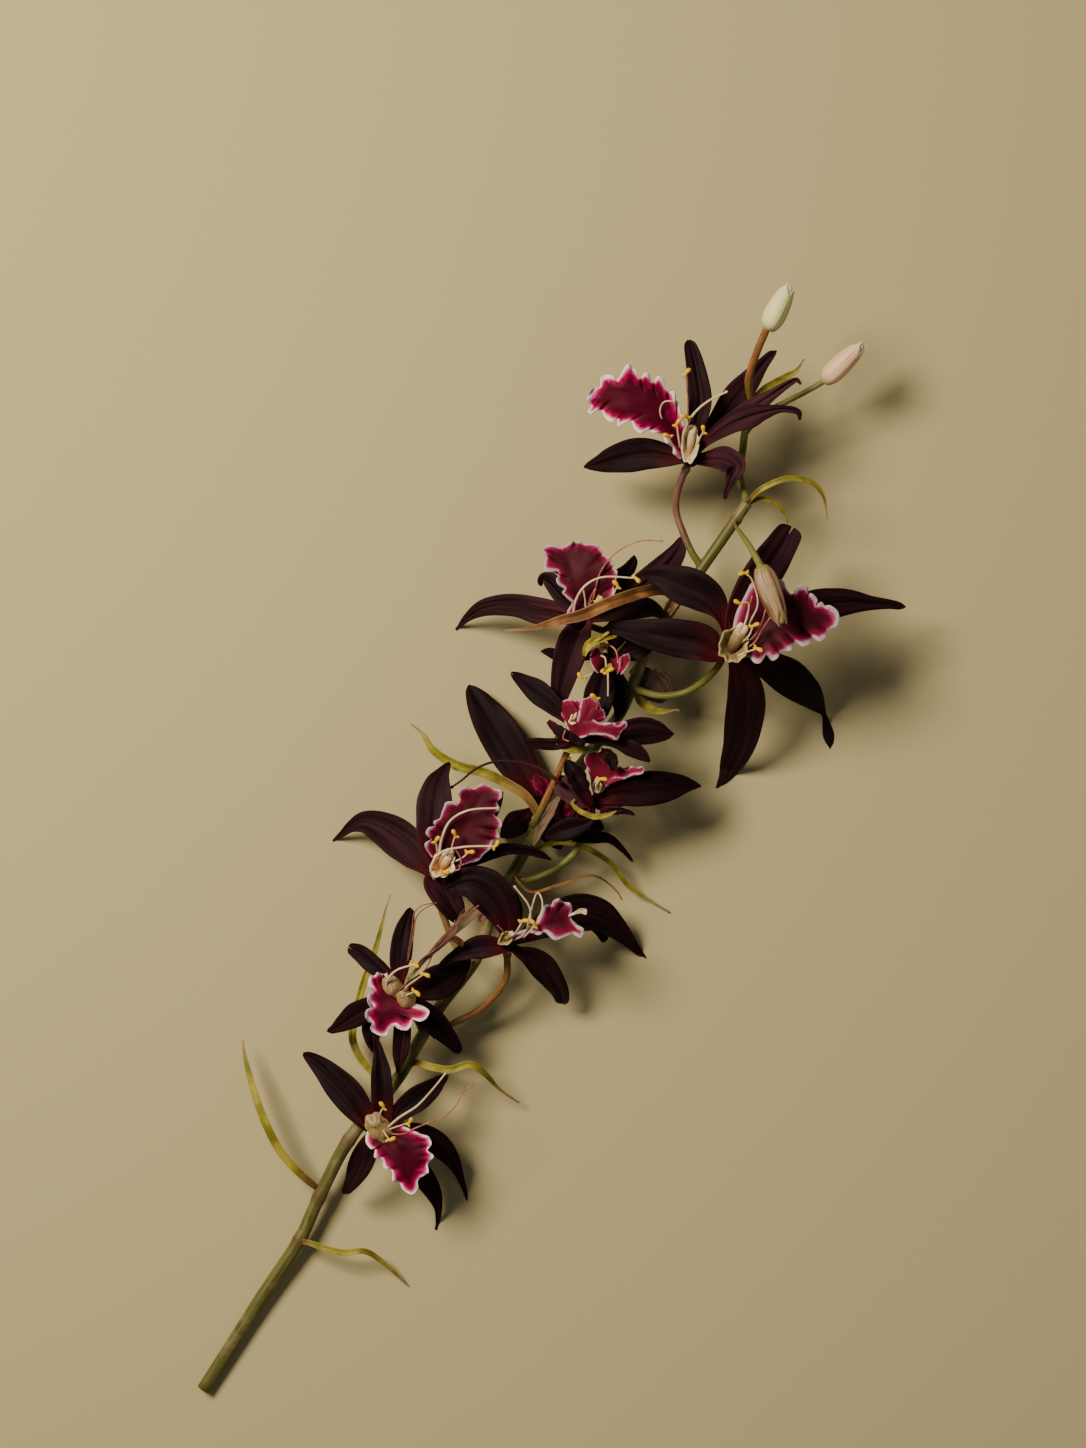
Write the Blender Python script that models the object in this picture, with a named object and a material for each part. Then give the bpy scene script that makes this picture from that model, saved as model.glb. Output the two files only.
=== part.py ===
"""A cut spray of dark orchids, lying on a table: one stem with eleven blooms, three buds and its bracts.

The file works in millimetres and makes its meshes in metres. +Z is up and the table is z = 0. The stem runs
from its cut end at low x and low y to the buds at high x and high y.
"""

import math
from collections import namedtuple

import bmesh
import bpy
from mathutils import Matrix, Vector

MM = 0.001

# Driving dimensions, in millimetres.
STEM_RADIUS_FOOT = 2.9
STEM_RADIUS_TOP = 2.3
NODE_SWELL = 0.7
NODE_LENGTH = 0.22
STALK_RADIUS = 1.5
STALK_SWELL = 0.35
BUD_STALK_RADIUS = 1.2
BRANCH_RADIUS = 1.6
CORE_RADIUS = 3.8
ROOT_DEPTH = 2.4
GAP = 0.35
CORE_GAP = 0.5
PETAL_THICKNESS = 0.8
LIP_THICKNESS = 0.8
BRACT_THICKNESS = 0.9
ANTHER_LENGTH = 4.2
ANTHER_RADIUS = 0.95
LIP_LOBES = 5
LIP_LIFT = 1.5

# Shapes, as shares of a length or a width.
PETAL_BASE, PETAL_WIDEST, PETAL_TIP = 0.28, 0.46, 0.08
PETAL_WAVE = 0.05
PETAL_WAVES = 1.6
LIP_CLAW, CLAW_LENGTH = 0.24, 0.16
LIP_SCALLOP = 0.07
LIP_RUFFLE = 0.055
LIP_END_BULGE = 0.11
LIP_END_LENGTH = 0.22
BRACT_BASE = 0.22
HOOD_SHAPE = (0.6, 0.75, 0.95, 1, 0.85, 0.4)
ANTHER_SHAPE = (0.5, 1, 0.4)
BUD_SHAPE = (0.5, 0.86, 1, 1, 0.94, 0.83, 0.66, 0.36)

# How finely the shapes are cut into triangles.
PETAL_ROWS, PETAL_COLUMNS = 6, 2
LIP_ROWS, LIP_COLUMNS = 2 * LIP_LOBES, 4
BRACT_ROWS, BRACT_COLUMNS = 8, 2
THREAD_ROWS, THREAD_SIDES = 3, 3
STEM_SIDES, STALK_SIDES, HOOD_SIDES, BUD_SIDES = 8, 5, 6, 8
STEP_ALONG_STEM = 12.0
STEP_ALONG_STALK = 9.0

# The origin lies on the table, under the middle of the whole spray's box.
ORIGIN = Vector((1.7, -49.2, 0.0))

# turn is the compass direction seen from above, in degrees from +X. reach is how far the tip lies from the heart
# in plan. bend is how far the blade's middle lies to the left of the straight line to the tip, and rise how far
# above it. cup lifts the edges, as a share of the half width. A lip's base and end are its widths there, as shares
# of its width, which it has at the share widest of its length.
Petal = namedtuple("Petal", "turn reach tip_z width bend rise cup")
Lip = namedtuple("Lip", "turn reach tip_z width bend rise cup base widest end")
Column = namedtuple("Column", "turn length radius")
Thread = namedtuple("Thread", "turn reach tip_z bend rise radius anther")
Bloom = namedtuple("Bloom", "name heart stalk petals lip column threads")
Bud = namedtuple("Bud", "name base tip radius stalk")
Bract = namedtuple("Bract", "name width path")

# The stem's middle line, from the cut end up to where it forks into the bud stalks.
STEM = [
    (-135.5, -265.5, 2.9), (-112.5, -229, 4.8), (-97, -205.5, 7), (-89, -188, 9), (-77, -165, 12),
    (-58, -141, 15), (-50.5, -128, 17), (-40, -110.5, 19), (-27, -93.5, 21), (-21.5, -78.5, 22),
    (-15, -63.5, 23.5), (-3, -43.5, 25.5), (7.5, -27, 27.5), (18.5, -11, 29), (30, 4, 30),
    (35.5, 16.5, 31), (41, 29.5, 32), (50.5, 45.5, 33), (62.5, 61.5, 34), (75, 79.5, 36),
    (79.5, 86, 37),
]
# Where the stem swells at a joint, by the place in the list above.
STEM_JOINTS = (2, 3, 4, 8.4, 12.6, 17.3, 19)

BUD_BRANCH = [
    (79.5, 86, 37), (76.8, 97, 33), (78, 106, 29.5), (79, 114, 29), (80.5, 121, 32), (81, 125.5, 37),
    (79.5, 133, 45), (82.5, 143.5, 52.5), (86, 152, 57.5),
]

BLOOMS = [
    Bloom(
        "bloom_01", (-65, -158, 31),
        [(-72.5, -158.5, 12.5), (-70, -158, 19), (-66, -158, 25), (-65, -158, 29.5)],
        [
            Petal(136, 41, 22, 13, -2, 3, 0.2),
            Petal(90, 36, 26, 10, 0, 3, 0.3),
            Petal(36, 34, 24, 10, 2, 3, 0.25),
            Petal(-43, 47, -2, 11, 9, 4, 0.2),
            Petal(-64, 50, -2, 10, 7, 2, 0.2),
            Petal(-115, 31, 14, 11, -1, 3, 0.2),
        ],
        Lip(-62, 31, 33, 26, 3, 3, 0.15, 0.8, 0.36, 0.2),
        Column(-50, 9, 3.9),
        [
            Thread(74, 11, 44, 0, 2, 0.4, True),
            Thread(15, 14, 44, 1, 3, 0.4, True),
            Thread(-35, 9, 43, -1, 2, 0.4, True),
            Thread(39, 35, 45, -3, 4, 0.6, False),
            Thread(25, 42, 37, -5, 3, 0.4, False),
        ],
    ),
    Bloom(
        "bloom_02", (-57, -104, 36),
        [(-47, -122, 18), (-52, -112, 22), (-56, -105.5, 28), (-57, -104, 34.5)],
        [
            Petal(140, 25, 29, 9, 0, 3, 0.2),
            Petal(81, 32, 30, 10, 0, 3, 0.25),
            Petal(24, 31, 26, 14, 1, 3, 0.2),
            Petal(-47, 34, 22, 11, 4, 3, 0.2),
            Petal(-89, 34, 21, 8, 1, 2, 0.25),
            Petal(-115, 25, 17, 8, 0, 2, 0.2),
            Petal(-148, 33, 20, 11, -2, 3, 0.2),
        ],
        Lip(-92, 18, 34, 25, -2, 4, 0.1, 0.8, 0.6, 0.55),
        Column(-45, 7, 3.6),
        [
            Thread(57, 15, 48, 2, 2, 0.5, True),
            Thread(32, 13, 47, -1, 2, 0.4, True),
            Thread(1, 8, 46, 0, 2, 0.4, True),
            Thread(46, 44, 49, 1, 4, 0.9, False),
        ],
    ),
    Bloom(
        "bloom_03", (-14, -84, 38),
        [(-44, -123, 18), (-36, -118.5, 17), (-24, -112, 18), (-15, -101, 24), (-14, -91, 30), (-14, -85.5, 36)],
        [
            Petal(140, 31, 41, 14, -4, 5, 0.15),
            Petal(-158, 29, 35, 10, -3, 3, 0.2),
            Petal(-50, 34, 12, 12, 5, 4, 0.2),
            Petal(-9, 54, -2, 15, 14, 5, 0.15),
            Petal(81, 19, 34, 9, 0, 2, 0.2),
            Petal(-4, 35, 8, 9, -2, 3, 0.2),
        ],
        Lip(13, 31, 45, 17, 3, 4, 0.2, 0.35, 0.66, 0.6),
        Column(40, 6, 2.9),
        [
            Thread(62, 12, 50, 0, 2, 0.4, True),
            Thread(30, 12, 50, 0, 2, 0.4, True),
            Thread(82, 22, 52, 4, 4, 0.5, False),
            Thread(52, 22, 53, -2, 4, 0.4, False),
        ],
    ),
    Bloom(
        "bloom_04", (-39, -54, 40),
        [(-27, -93.5, 21), (-34, -88, 20), (-38, -79, 21), (-41, -68, 27), (-40, -58, 33), (-39, -55, 38.5)],
        [
            Petal(170, 45, -1, 14, -8, 7, 0.2),
            Petal(87, 38, 33, 14, 6, 4, 0.25),
            Petal(-76, 25, 18, 12, 1, 2, 0.25),
            Petal(3, 42, 33, 8, 2, 5, 0.25),
            Petal(50, 36, 29, 12, 0, 3, 0.2),
        ],
        Lip(53, 37, 47, 26, 0, 4, 0.15, 0.6, 0.5, 0.6),
        Column(60, 6, 3.8),
        [
            Thread(103, 10, 54, 0, 2, 0.4, True),
            Thread(67, 13, 55, 0, 2, 0.4, True),
            Thread(35, 13, 53, -1, 2, 0.4, True),
            Thread(19, 22, 56, 5, 3, 0.6, True),
            Thread(45, 31, 57, 9, 4, 0.5, True),
        ],
    ),
    Bloom(
        "bloom_05", (12, -5, 47),
        [(-4, -40, 26), (0, -32, 31), (5, -21, 35), (9, -12, 39), (12, -5, 45.5)],
        [
            Petal(135, 35, 36, 11, -1, 3, 0.2),
            Petal(-171, 19, 38, 6, 0, 2, 0.2),
            Petal(2, 40, 37, 11, 2, 3, 0.2),
            Petal(-24, 31, 46, 11, 1, 2, 0.2),
            Petal(60, 20, 42, 12, 0, 2, 0.2),
        ],
        Lip(58, 15, 55, 25, 0, 4, 0.25, 0.5, 0.6, 0.7),
        Column(60, 5, 2.4),
        [
            Thread(50, 16, 60, 2, 2, 0.4, True),
        ],
    ),
    Bloom(
        "bloom_06", (26, 25, 36),
        [(34, 13, 30.5), (30, 19, 29), (26.5, 24, 31), (26, 25, 34.5)],
        [
            Petal(22, 20, 38, 9, 0, 2, 0.2),
            Petal(-60, 15, 35.5, 8, 0, 2, 0.1),
            Petal(165, 26, 31, 9, 1, 2, 0.2),
            Petal(80, 17, 36, 9, 0, 2, 0.2),
        ],
        Lip(-100, 10, 42, 11, 0, 2, 0.2, 0.4, 0.6, 0.4),
        Column(-80, 5, 1.8),
        [
            Thread(120, 10, 45, 0, 2, 0.4, True),
            Thread(84, 8, 42, 0, 2, 0.4, True),
            Thread(-150, 12, 43, 0, 2, 0.4, True),
            Thread(-95, 20, 48, 1, 3, 0.5, False),
        ],
    ),
    Bloom(
        "bloom_07", (72, 30, 53),
        [(36, 13.5, 31), (46.5, 11, 32), (57, 13, 34), (66, 20, 40), (71, 28, 46), (72, 30, 51.5)],
        [
            Petal(60, 53, 44, 14, -1, 4, 0.3),
            Petal(13, 71, 32, 11, 5, 5, 0.2),
            Petal(-43, 57, -15, 15, 7, 9, 0.2),
            Petal(-94, 56, -16, 16, 7, 9, 0.2),
            Petal(171, 46, 45, 16, -1, 4, 0.15),
            Petal(140, 43, 47, 16, -7, 4, 0.15),
        ],
        Lip(13, 44, 57, 29, 3, 4, 0.12, 0.85, 0.36, 0.32),
        Column(62, 12, 4.8),
        [
            Thread(82, 28, 66, -2, 3, 0.4, True),
            Thread(79, 14, 66, 0, 3, 0.4, True),
            Thread(40, 15, 67, -1, 3, 0.4, True),
            Thread(-8, 12, 64, 0, 2, 0.4, True),
            Thread(30, 18, 65, 2, 3, 0.45, False),
        ],
    ),
    Bloom(
        "bloom_08", (57, 103, 46),
        [
            (62, 61, 34), (58, 67, 35), (54.5, 75, 34), (52, 83, 33), (52.5, 91, 36), (56, 100, 40),
            (57, 103, 44.5),
        ],
        [
            Petal(89, 47, 41, 10, -2, 4, 0.2),
            Petal(51, 54, 23, 10, 3, 1, 0.2),
            Petal(35, 54, 42, 10, 0, 4, 0.2),
            Petal(21, 47, 40, 11, -2, 4, 0.2),
            Petal(-39, 21, 40, 12, 11, 3, 0.2),
            Petal(-177, 42, 24, 13, -3, 5, 0.2),
        ],
        Lip(151, 44, 56, 22, -8, 5, 0.2, 0.62, 0.5, 0.8),
        Column(82, 9, 3.0),
        [
            Thread(94, 31, 60, -2, 3, 0.4, True),
            Thread(115, 13, 58, 0, 2, 0.4, True),
            Thread(67, 12, 60, -2, 2, 0.4, True),
            Thread(60, 29, 62, 4, 4, 0.6, False),
            Thread(112, 26, 60, 4, 4, 0.4, False),
        ],
    ),
    Bloom(
        "bloom_09", (13, 40, 42),
        [(42, 31, 32), (34, 33, 31), (22, 37, 32), (14.5, 39.5, 35), (13, 40, 40.5)],
        [
            Petal(-178, 48, -2, 11, -7, 9, 0.2),
            Petal(131, 21, 33, 9, 0, 2, 0.2),
            Petal(45, 34, 34, 10, -2, 3, 0.2),
            Petal(39, 51, 31, 11, 2, 3, 0.2),
            Petal(9, 34, 38, 12, 1, 3, 0.2),
            Petal(-105, 36, 35, 12, 0, 4, 0.3),
        ],
        Lip(93, 31, 47, 27, -3, 4, 0.15, 0.5, 0.68, 0.65),
        Column(60, 6, 3.2),
        [
            Thread(43, 20, 52, 0, 2, 0.4, True),
            Thread(32, 29, 54, 6, 4, 0.5, True),
            Thread(50, 42, 52, 8, 5, 0.4, False),
        ],
    ),
    Bloom(
        "bloom_10", (19, -30, 36),
        [(-12.5, -61.5, 23), (-3, -60.5, 24), (9, -54, 25), (15, -46, 26), (18, -36, 29), (19, -30, 34.5)],
        [
            Petal(7, 43, 26, 14, 1, 4, 0.2),
            Petal(-55, 30, 14, 10, 4, 3, 0.2),
            Petal(25, 20, 34.5, 11, 0, 0, 0.2),
            Petal(150, 15, 33, 11, 0, 1, 0.2),
            Petal(-138, 23, 31, 11, 0, 3, 0.2),
        ],
        Lip(80, 16, 39, 21, 0, 1, 0.1, 0.5, 0.6, 0.6),
        Column(90, 5, 1.8),
        [
            Thread(70, 11, 46, 0, 2, 0.4, True),
        ],
    ),
    Bloom(
        "bloom_11", (-2, -32, 13),
        [(-1, -41, 26), (-2, -38, 20), (-2, -34, 16), (-2, -32, 13)],
        [
            Petal(120, 56, 5, 15, 2, 2, 0.15),
            Petal(-139, 20, 4, 10, 0, 2, 0.2),
            Petal(-64, 20, 4, 10, 0, 2, 0.2),
            Petal(-20, 28, 4, 12, 0, 2, 0.2),
        ],
        None,
        None,
        [],
    ),
]

BUDS = [
    Bud("bud_01", (86, 151, 57), (94.5, 168, 60), 4.4, None),
    Bud(
        "bud_02", (109.5, 133.5, 33), (124.5, 148, 38), 4.1,
        [(79, 114, 29), (87, 122, 27.5), (95, 126, 29), (104, 130.5, 32), (110, 134, 33.2)],
    ),
    Bud(
        "bud_03", (82.5, 60, 72), (90.5, 37.5, 74), 4.4,
        [(75, 79.5, 36), (74.5, 77, 44), (76, 73, 56), (79, 67, 67), (82.7, 59.4, 72)],
    ),
]

BRACTS = [
    Bract("bract_01", 3.4, [(-90, -184, 9.5), (-96, -178, 14), (-103.5, -169, 16.5), (-110, -156, 18),
                            (-114, -145, 17), (-118, -132, 13), (-119.5, -125.5, 10)]),
    Bract("bract_02", 2.4, [(-98, -206, 7.5), (-93, -205.8, 11), (-87, -207.5, 13), (-79, -209.5, 13),
                            (-71, -209, 12), (-65, -213, 8), (-58, -220, 4), (-54.5, -224, 2)]),
    Bract("bract_03", 2.8, [(-55, -135, 16), (-50, -133.5, 19), (-44, -135, 21), (-36.5, -136, 22),
                            (-28.5, -134, 22), (-22.5, -138.5, 18), (-17.5, -144.5, 12), (-9.5, -151, 6)]),
    Bract("bract_04", 3.0, [(-58, -141.5, 15), (-62.5, -143, 14), (-69, -136.5, 13), (-74, -129.5, 12.5),
                            (-75.5, -121, 12), (-71.5, -104, 14), (-66.5, -89.5, 16), (-63, -76.5, 17),
                            (-60.5, -67.5, 15)]),
    Bract("bract_05", 4.0, [(0, -38.5, 26), (-6, -29, 27.5), (-13, -24, 27.5), (-23, -19, 28),
                            (-34, -16, 28.5), (-42.5, -10.5, 30), (-47, -4, 29), (-52, 0, 26)]),
    Bract("bract_06", 4.6, [(53, 49, 34), (47, 52, 38.5), (39, 51, 48), (27, 47, 55), (15.5, 42, 57),
                            (7.5, 40, 56), (-4, 37, 50), (-15, 36, 43)]),
    Bract("bract_07", 2.2, [(-8, -52, 24.5), (-2, -49, 22), (6.5, -46.5, 19), (16, -48.5, 16),
                            (26.5, -55, 12), (34, -64.5, 7), (42, -70, 3), (50, -75, 1.5)]),
    Bract("bract_08", 3.2, [(36, 14, 31), (38.5, 8.5, 28), (44.5, 5, 27), (53.5, 5.5, 25)]),
    Bract("bract_09", 3.0, [(80, 120, 33), (82.5, 126, 37), (86, 130, 37.5), (92.5, 134, 37),
                            (98.5, 137.5, 37), (101.5, 142, 37)]),
    Bract("tendril_01", 2.2, [(79.5, 86, 37), (84.5, 91, 40), (94, 95, 42), (103.5, 94, 40),
                              (109, 89, 36), (111.5, 80, 30)]),
    Bract("tendril_02", 2.0, [(78, 84, 36.5), (83, 87.5, 36), (89, 87, 34.5), (94, 83, 32), (96, 77, 29)]),
    Bract("tendril_03", 1.2, [(-12, -57, 24.5), (-13, -53, 30), (-8, -60, 33), (-2, -64.5, 35),
                              (6, -64, 36), (13, -60.5, 35), (22, -63, 32), (30, -67.5, 27)]),
]

COLOURS = {
    "petal": (0.022, 0.008, 0.011, 1),
    "lip": (0.30, 0.02, 0.09, 1),
    "column": (0.46, 0.36, 0.16, 1),
    "stem": (0.17, 0.17, 0.06, 1),
    "bract": (0.30, 0.25, 0.06, 1),
    "bud": (0.66, 0.58, 0.42, 1),
}


def smooth(t):
    """Eases t from 0 to 1 with flat ends."""
    t = min(max(t, 0.0), 1.0)
    return t * t * (3 - 2 * t)


def compass(turn):
    angle = math.radians(turn)
    return Vector((math.cos(angle), math.sin(angle), 0))


def bezier(start, elbow, end, t):
    return start * (1 - t) ** 2 + elbow * (2 * t * (1 - t)) + end * t * t


def through(points, t):
    """A point on the smooth curve through the points, t from 0 to the number of the last one."""
    at = [Vector(p) for p in points]
    i = min(int(t), len(at) - 2)
    t -= i
    before = at[i - 1] if i else at[0] * 2 - at[1]
    after = at[i + 2] if i + 2 < len(at) else at[-1] * 2 - at[-2]
    a, b = at[i], at[i + 1]
    return (
        a * 2
        + (b - before) * t
        + (before * 2 - a * 5 + b * 4 - after) * t * t
        + (a * 3 - before - b * 3 + after) * t ** 3
    ) / 2


def evenly(points, step):
    """(place in the list, point) about every step along the smooth curve through the points."""
    fine = 12
    last = len(points) - 1
    places = [i / fine for i in range(last * fine + 1)]
    found = [through(points, t) for t in places]
    along = [0.0]
    for a, b in zip(found, found[1:]):
        along.append(along[-1] + (b - a).length)
    count = max(3, round(along[-1] / step))
    picked = []
    for i in range(count + 1):
        want = along[-1] * i / count
        j = min(range(len(along)), key=lambda k: abs(along[k] - want))
        picked.append((places[j], found[j]))
    return picked


def new_material(name, colour, roughness):
    material = bpy.data.materials.new(name)
    material.use_nodes = True
    shader = material.node_tree.nodes["Principled BSDF"]
    shader.inputs["Base Color"].default_value = colour
    shader.inputs["Roughness"].default_value = roughness
    shader.inputs["Metallic"].default_value = 0.0
    return material


def make_object(name, points, faces, material=None):
    """A closed mesh object from points in millimetres, its faces turned outwards."""
    mesh = bpy.data.meshes.new(name)
    mesh.from_pydata([(Vector(p) - ORIGIN) * MM for p in points], [], faces)
    work = bmesh.new()
    work.from_mesh(mesh)
    bmesh.ops.recalc_face_normals(work, faces=work.faces)
    work.to_mesh(mesh)
    work.free()
    if material:
        mesh.materials.append(material)
    obj = bpy.data.objects.new(name, mesh)
    bpy.context.scene.collection.objects.link(obj)
    return obj


def blade(name, surface, rows, columns, thickness, material=None):
    """A thin closed blade under surface(u, v), u from 0 to 1 along it and v from -1 to 1 across it.

    Both faces are cut into triangles alike. What would reach below the table lies flat on it.
    """
    upper = []
    for r in range(rows + 1):
        upper.append([surface(r / rows, 2 * c / columns - 1) for c in range(columns + 1)])
    points = []
    lower = []
    for r in range(rows + 1):
        for c in range(columns + 1):
            ahead = upper[min(r + 1, rows)][c] - upper[max(r - 1, 0)][c]
            left = upper[r][min(c + 1, columns)] - upper[r][max(c - 1, 0)]
            under = upper[r][c] - ahead.cross(left).normalized() * thickness
            under.z = max(under.z, 0)
            above = upper[r][c].copy()
            if under.z == 0:
                above.z = max(above.z, thickness)
            points.append(above)
            lower.append(under)
    half = len(points)
    points += lower
    wide = columns + 1
    faces = []
    for r in range(rows):
        for c in range(columns):
            a = r * wide + c
            b, d, e = a + wide, a + 1, a + wide + 1
            for face in ((a, b, e), (a, e, d)):
                faces.append(face)
                faces.append(tuple(i + half for i in reversed(face)))
    rim = [r * wide for r in range(rows)] + [rows * wide + c for c in range(columns)]
    rim += [r * wide + columns for r in range(rows, 0, -1)] + list(range(columns, 0, -1))
    for a, b in zip(rim, rim[1:] + rim[:1]):
        faces.append((a, b, b + half))
        faces.append((a, b + half, a + half))
    return make_object(name, points, faces, material)


def tube(name, points, radii, sides, material=None):
    """A closed tube along the points, with a radius at each."""
    ring = []
    side = (points[1] - points[0]).orthogonal().normalized()
    for i, point in enumerate(points):
        ahead = (points[min(i + 1, len(points) - 1)] - points[max(i - 1, 0)]).normalized()
        side = (side - ahead * side.dot(ahead)).normalized()
        other = ahead.cross(side)
        for k in range(sides):
            angle = math.tau * k / sides
            ring.append(point + (side * math.cos(angle) + other * math.sin(angle)) * radii[i])
    faces = []
    for i in range(len(points) - 1):
        for k in range(sides):
            a, b = i * sides + k, i * sides + (k + 1) % sides
            faces.append((a, b, b + sides))
            faces.append((a, b + sides, a + sides))
    faces.append(tuple(reversed(range(sides))))
    faces.append(tuple(range(len(ring) - sides, len(ring))))
    return make_object(name, ring, faces, material)


def ball(name, centre, radius):
    mesh = bpy.data.meshes.new(name)
    work = bmesh.new()
    place = Matrix.Translation((Vector(centre) - ORIGIN) * MM)
    bmesh.ops.create_icosphere(work, subdivisions=1, radius=radius * MM, matrix=place)
    work.to_mesh(mesh)
    work.free()
    obj = bpy.data.objects.new(name, mesh)
    bpy.context.scene.collection.objects.link(obj)
    return obj


def settle(obj, boolean):
    """Applies the Boolean, so that its operands can go."""
    graph = bpy.context.evaluated_depsgraph_get()
    mesh = bpy.data.meshes.new_from_object(obj.evaluated_get(graph))
    obj.modifiers.remove(boolean)
    old = obj.data
    obj.data = mesh
    bpy.data.meshes.remove(old)
    mesh.name = obj.name


def join(name, shapes, material):
    """One body from overlapping shapes, by one Boolean union on a collection."""
    body, rest = shapes[0], shapes[1:]
    body.name = name
    body.data.materials.clear()
    body.data.materials.append(material)
    if rest:
        bunch = bpy.data.collections.new(name + "_shapes")
        for shape in rest:
            bunch.objects.link(shape)
        union = body.modifiers.new("join", "BOOLEAN")
        union.operation = "UNION"
        union.operand_type = "COLLECTION"
        union.collection = bunch
        union.solver = "MANIFOLD"
        settle(body, union)
        for shape in rest:
            bpy.data.objects.remove(shape)
        bpy.data.collections.remove(bunch)
    return body


def drop_scraps(body):
    """Keeps the largest of the pieces that a cut leaves."""
    work = bmesh.new()
    work.from_mesh(body.data)
    seen = set()
    pieces = []
    for start in work.verts:
        if start in seen:
            continue
        seen.add(start)
        piece = [start]
        for vert in piece:
            near = [edge.other_vert(vert) for edge in vert.link_edges]
            fresh = [v for v in near if v not in seen]
            seen.update(fresh)
            piece.extend(fresh)
        pieces.append(piece)
    pieces.sort(key=len)
    for piece in pieces[:-1]:
        bmesh.ops.delete(work, geom=piece, context="VERTS")
    work.to_mesh(body.data)
    work.free()


def cut(body, cutters):
    """Takes the cutters' shapes out of the body. The cutters stay, for the next one."""
    for cutter in cutters:
        difference = body.modifiers.new("cut", "BOOLEAN")
        difference.operation = "DIFFERENCE"
        difference.object = cutter
        difference.solver = "MANIFOLD"
        settle(body, difference)
    drop_scraps(body)


def blade_line(start, piece):
    """The middle line of a petal, a lip or a thread, as its three control points."""
    tip = start + compass(piece.turn) * piece.reach
    tip.z = piece.tip_z
    elbow = (start + tip) / 2
    elbow += compass(piece.turn + 90) * 2 * piece.bend
    elbow.z += 2 * piece.rise
    return start, elbow, tip


def across_line(line, u):
    """(point, left, normal) of the middle line at u."""
    start, elbow, tip = line
    point = bezier(start, elbow, tip, u)
    ahead = ((elbow - start) * (1 - u) + (tip - elbow) * u).normalized()
    left = Vector((0, 0, 1)).cross(ahead).normalized()
    return point, left, ahead.cross(left)


def petal_width(u):
    """Half widths as a share: a narrow base, widest before the middle, and a narrow tip."""
    if u < PETAL_WIDEST:
        return PETAL_BASE + (1 - PETAL_BASE) * smooth(u / PETAL_WIDEST)
    tail = (u - PETAL_WIDEST) / (1 - PETAL_WIDEST)
    return PETAL_TIP + (1 - PETAL_TIP) * max(0.0, 1 - tail ** 1.9) ** 0.65


def petal_surface(bloom, petal):
    line = blade_line(Vector(bloom.heart), petal)
    half = petal.width / 2
    first = ROOT_DEPTH / (2 * (line[1] - line[0]).length)

    def surface(u, v):
        point, left, normal = across_line(line, first + (1 - first) * u)
        reach = half * petal_width(u)
        wave = PETAL_WAVE * petal.width * v * math.sin(math.tau * PETAL_WAVES * u)
        return point + left * v * reach + normal * (petal.cup * abs(v) ** 1.5 * reach + wave)

    return surface


def lip_width(lip, u):
    """Half widths as a share: a claw, then broad, narrowing again to its end."""
    claw = LIP_CLAW + (lip.base - LIP_CLAW) * smooth(u / CLAW_LENGTH)
    if u < lip.widest:
        return claw + (1 - lip.base) * smooth(u / lip.widest)
    tail = (u - lip.widest) / (1 - lip.widest)
    return lip.end + (1 - lip.end) * (1 - tail ** 1.7)


def lip_surface(bloom, lip):
    line = blade_line(Vector(bloom.heart) + Vector((0, 0, LIP_LIFT)), lip)
    half = lip.width / 2

    def surface(u, v):
        end = smooth((u - 1 + LIP_END_LENGTH) / LIP_END_LENGTH)
        edge = smooth((abs(v) - 0.3) / 0.7) * smooth(u / 0.2)
        side = 0.0 if v > 0 else 0.5
        wave = (1 - end) * edge * math.cos(math.tau * (LIP_LOBES * u + side))
        wave += end * math.cos(math.tau * v)
        point, left, normal = across_line(line, u * (1 - LIP_END_BULGE * v * v))
        reach = half * lip_width(lip, u) * (1 + LIP_SCALLOP * wave)
        lift = lip.cup * v * v * reach + LIP_RUFFLE * lip.width * wave
        return point + left * v * reach + normal * lift

    return surface


def bract_surface(bract):
    last = len(bract.path) - 1

    def surface(u, v):
        point = through(bract.path, u * last)
        ahead = (through(bract.path, min(u + 0.02, 1) * last) - through(bract.path, max(u - 0.02, 0) * last))
        left = Vector((0, 0, 1)).cross(ahead).normalized()
        swell = math.sin(math.pi * (0.2 + 0.75 * u))
        reach = bract.width / 2 * (BRACT_BASE + (1 - BRACT_BASE) * swell)
        return point + left * v * reach + Vector((0, 0, 0.3 * abs(v) * reach))

    return surface


def thread_shapes(bloom, thread):
    """A filament from inside the column, with a yellow head where it has one."""
    line = blade_line(Vector(bloom.heart) + Vector((0, 0, CORE_RADIUS + LIP_LIFT)), thread)
    points = [bezier(*line, i / THREAD_ROWS) for i in range(THREAD_ROWS + 1)]
    radii = [thread.radius * (1.25 - 0.25 * i / THREAD_ROWS) for i in range(THREAD_ROWS + 1)]
    shapes = [tube("thread", points, radii, THREAD_SIDES)]
    if thread.anther:
        ahead = (line[2] - line[1]).normalized()
        ends = [line[2] + ahead * ANTHER_LENGTH * (s - 0.4) for s in (0, 0.5, 1)]
        shapes.append(tube("anther", ends, [ANTHER_RADIUS * s for s in ANTHER_SHAPE], THREAD_SIDES))
    return shapes


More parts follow.
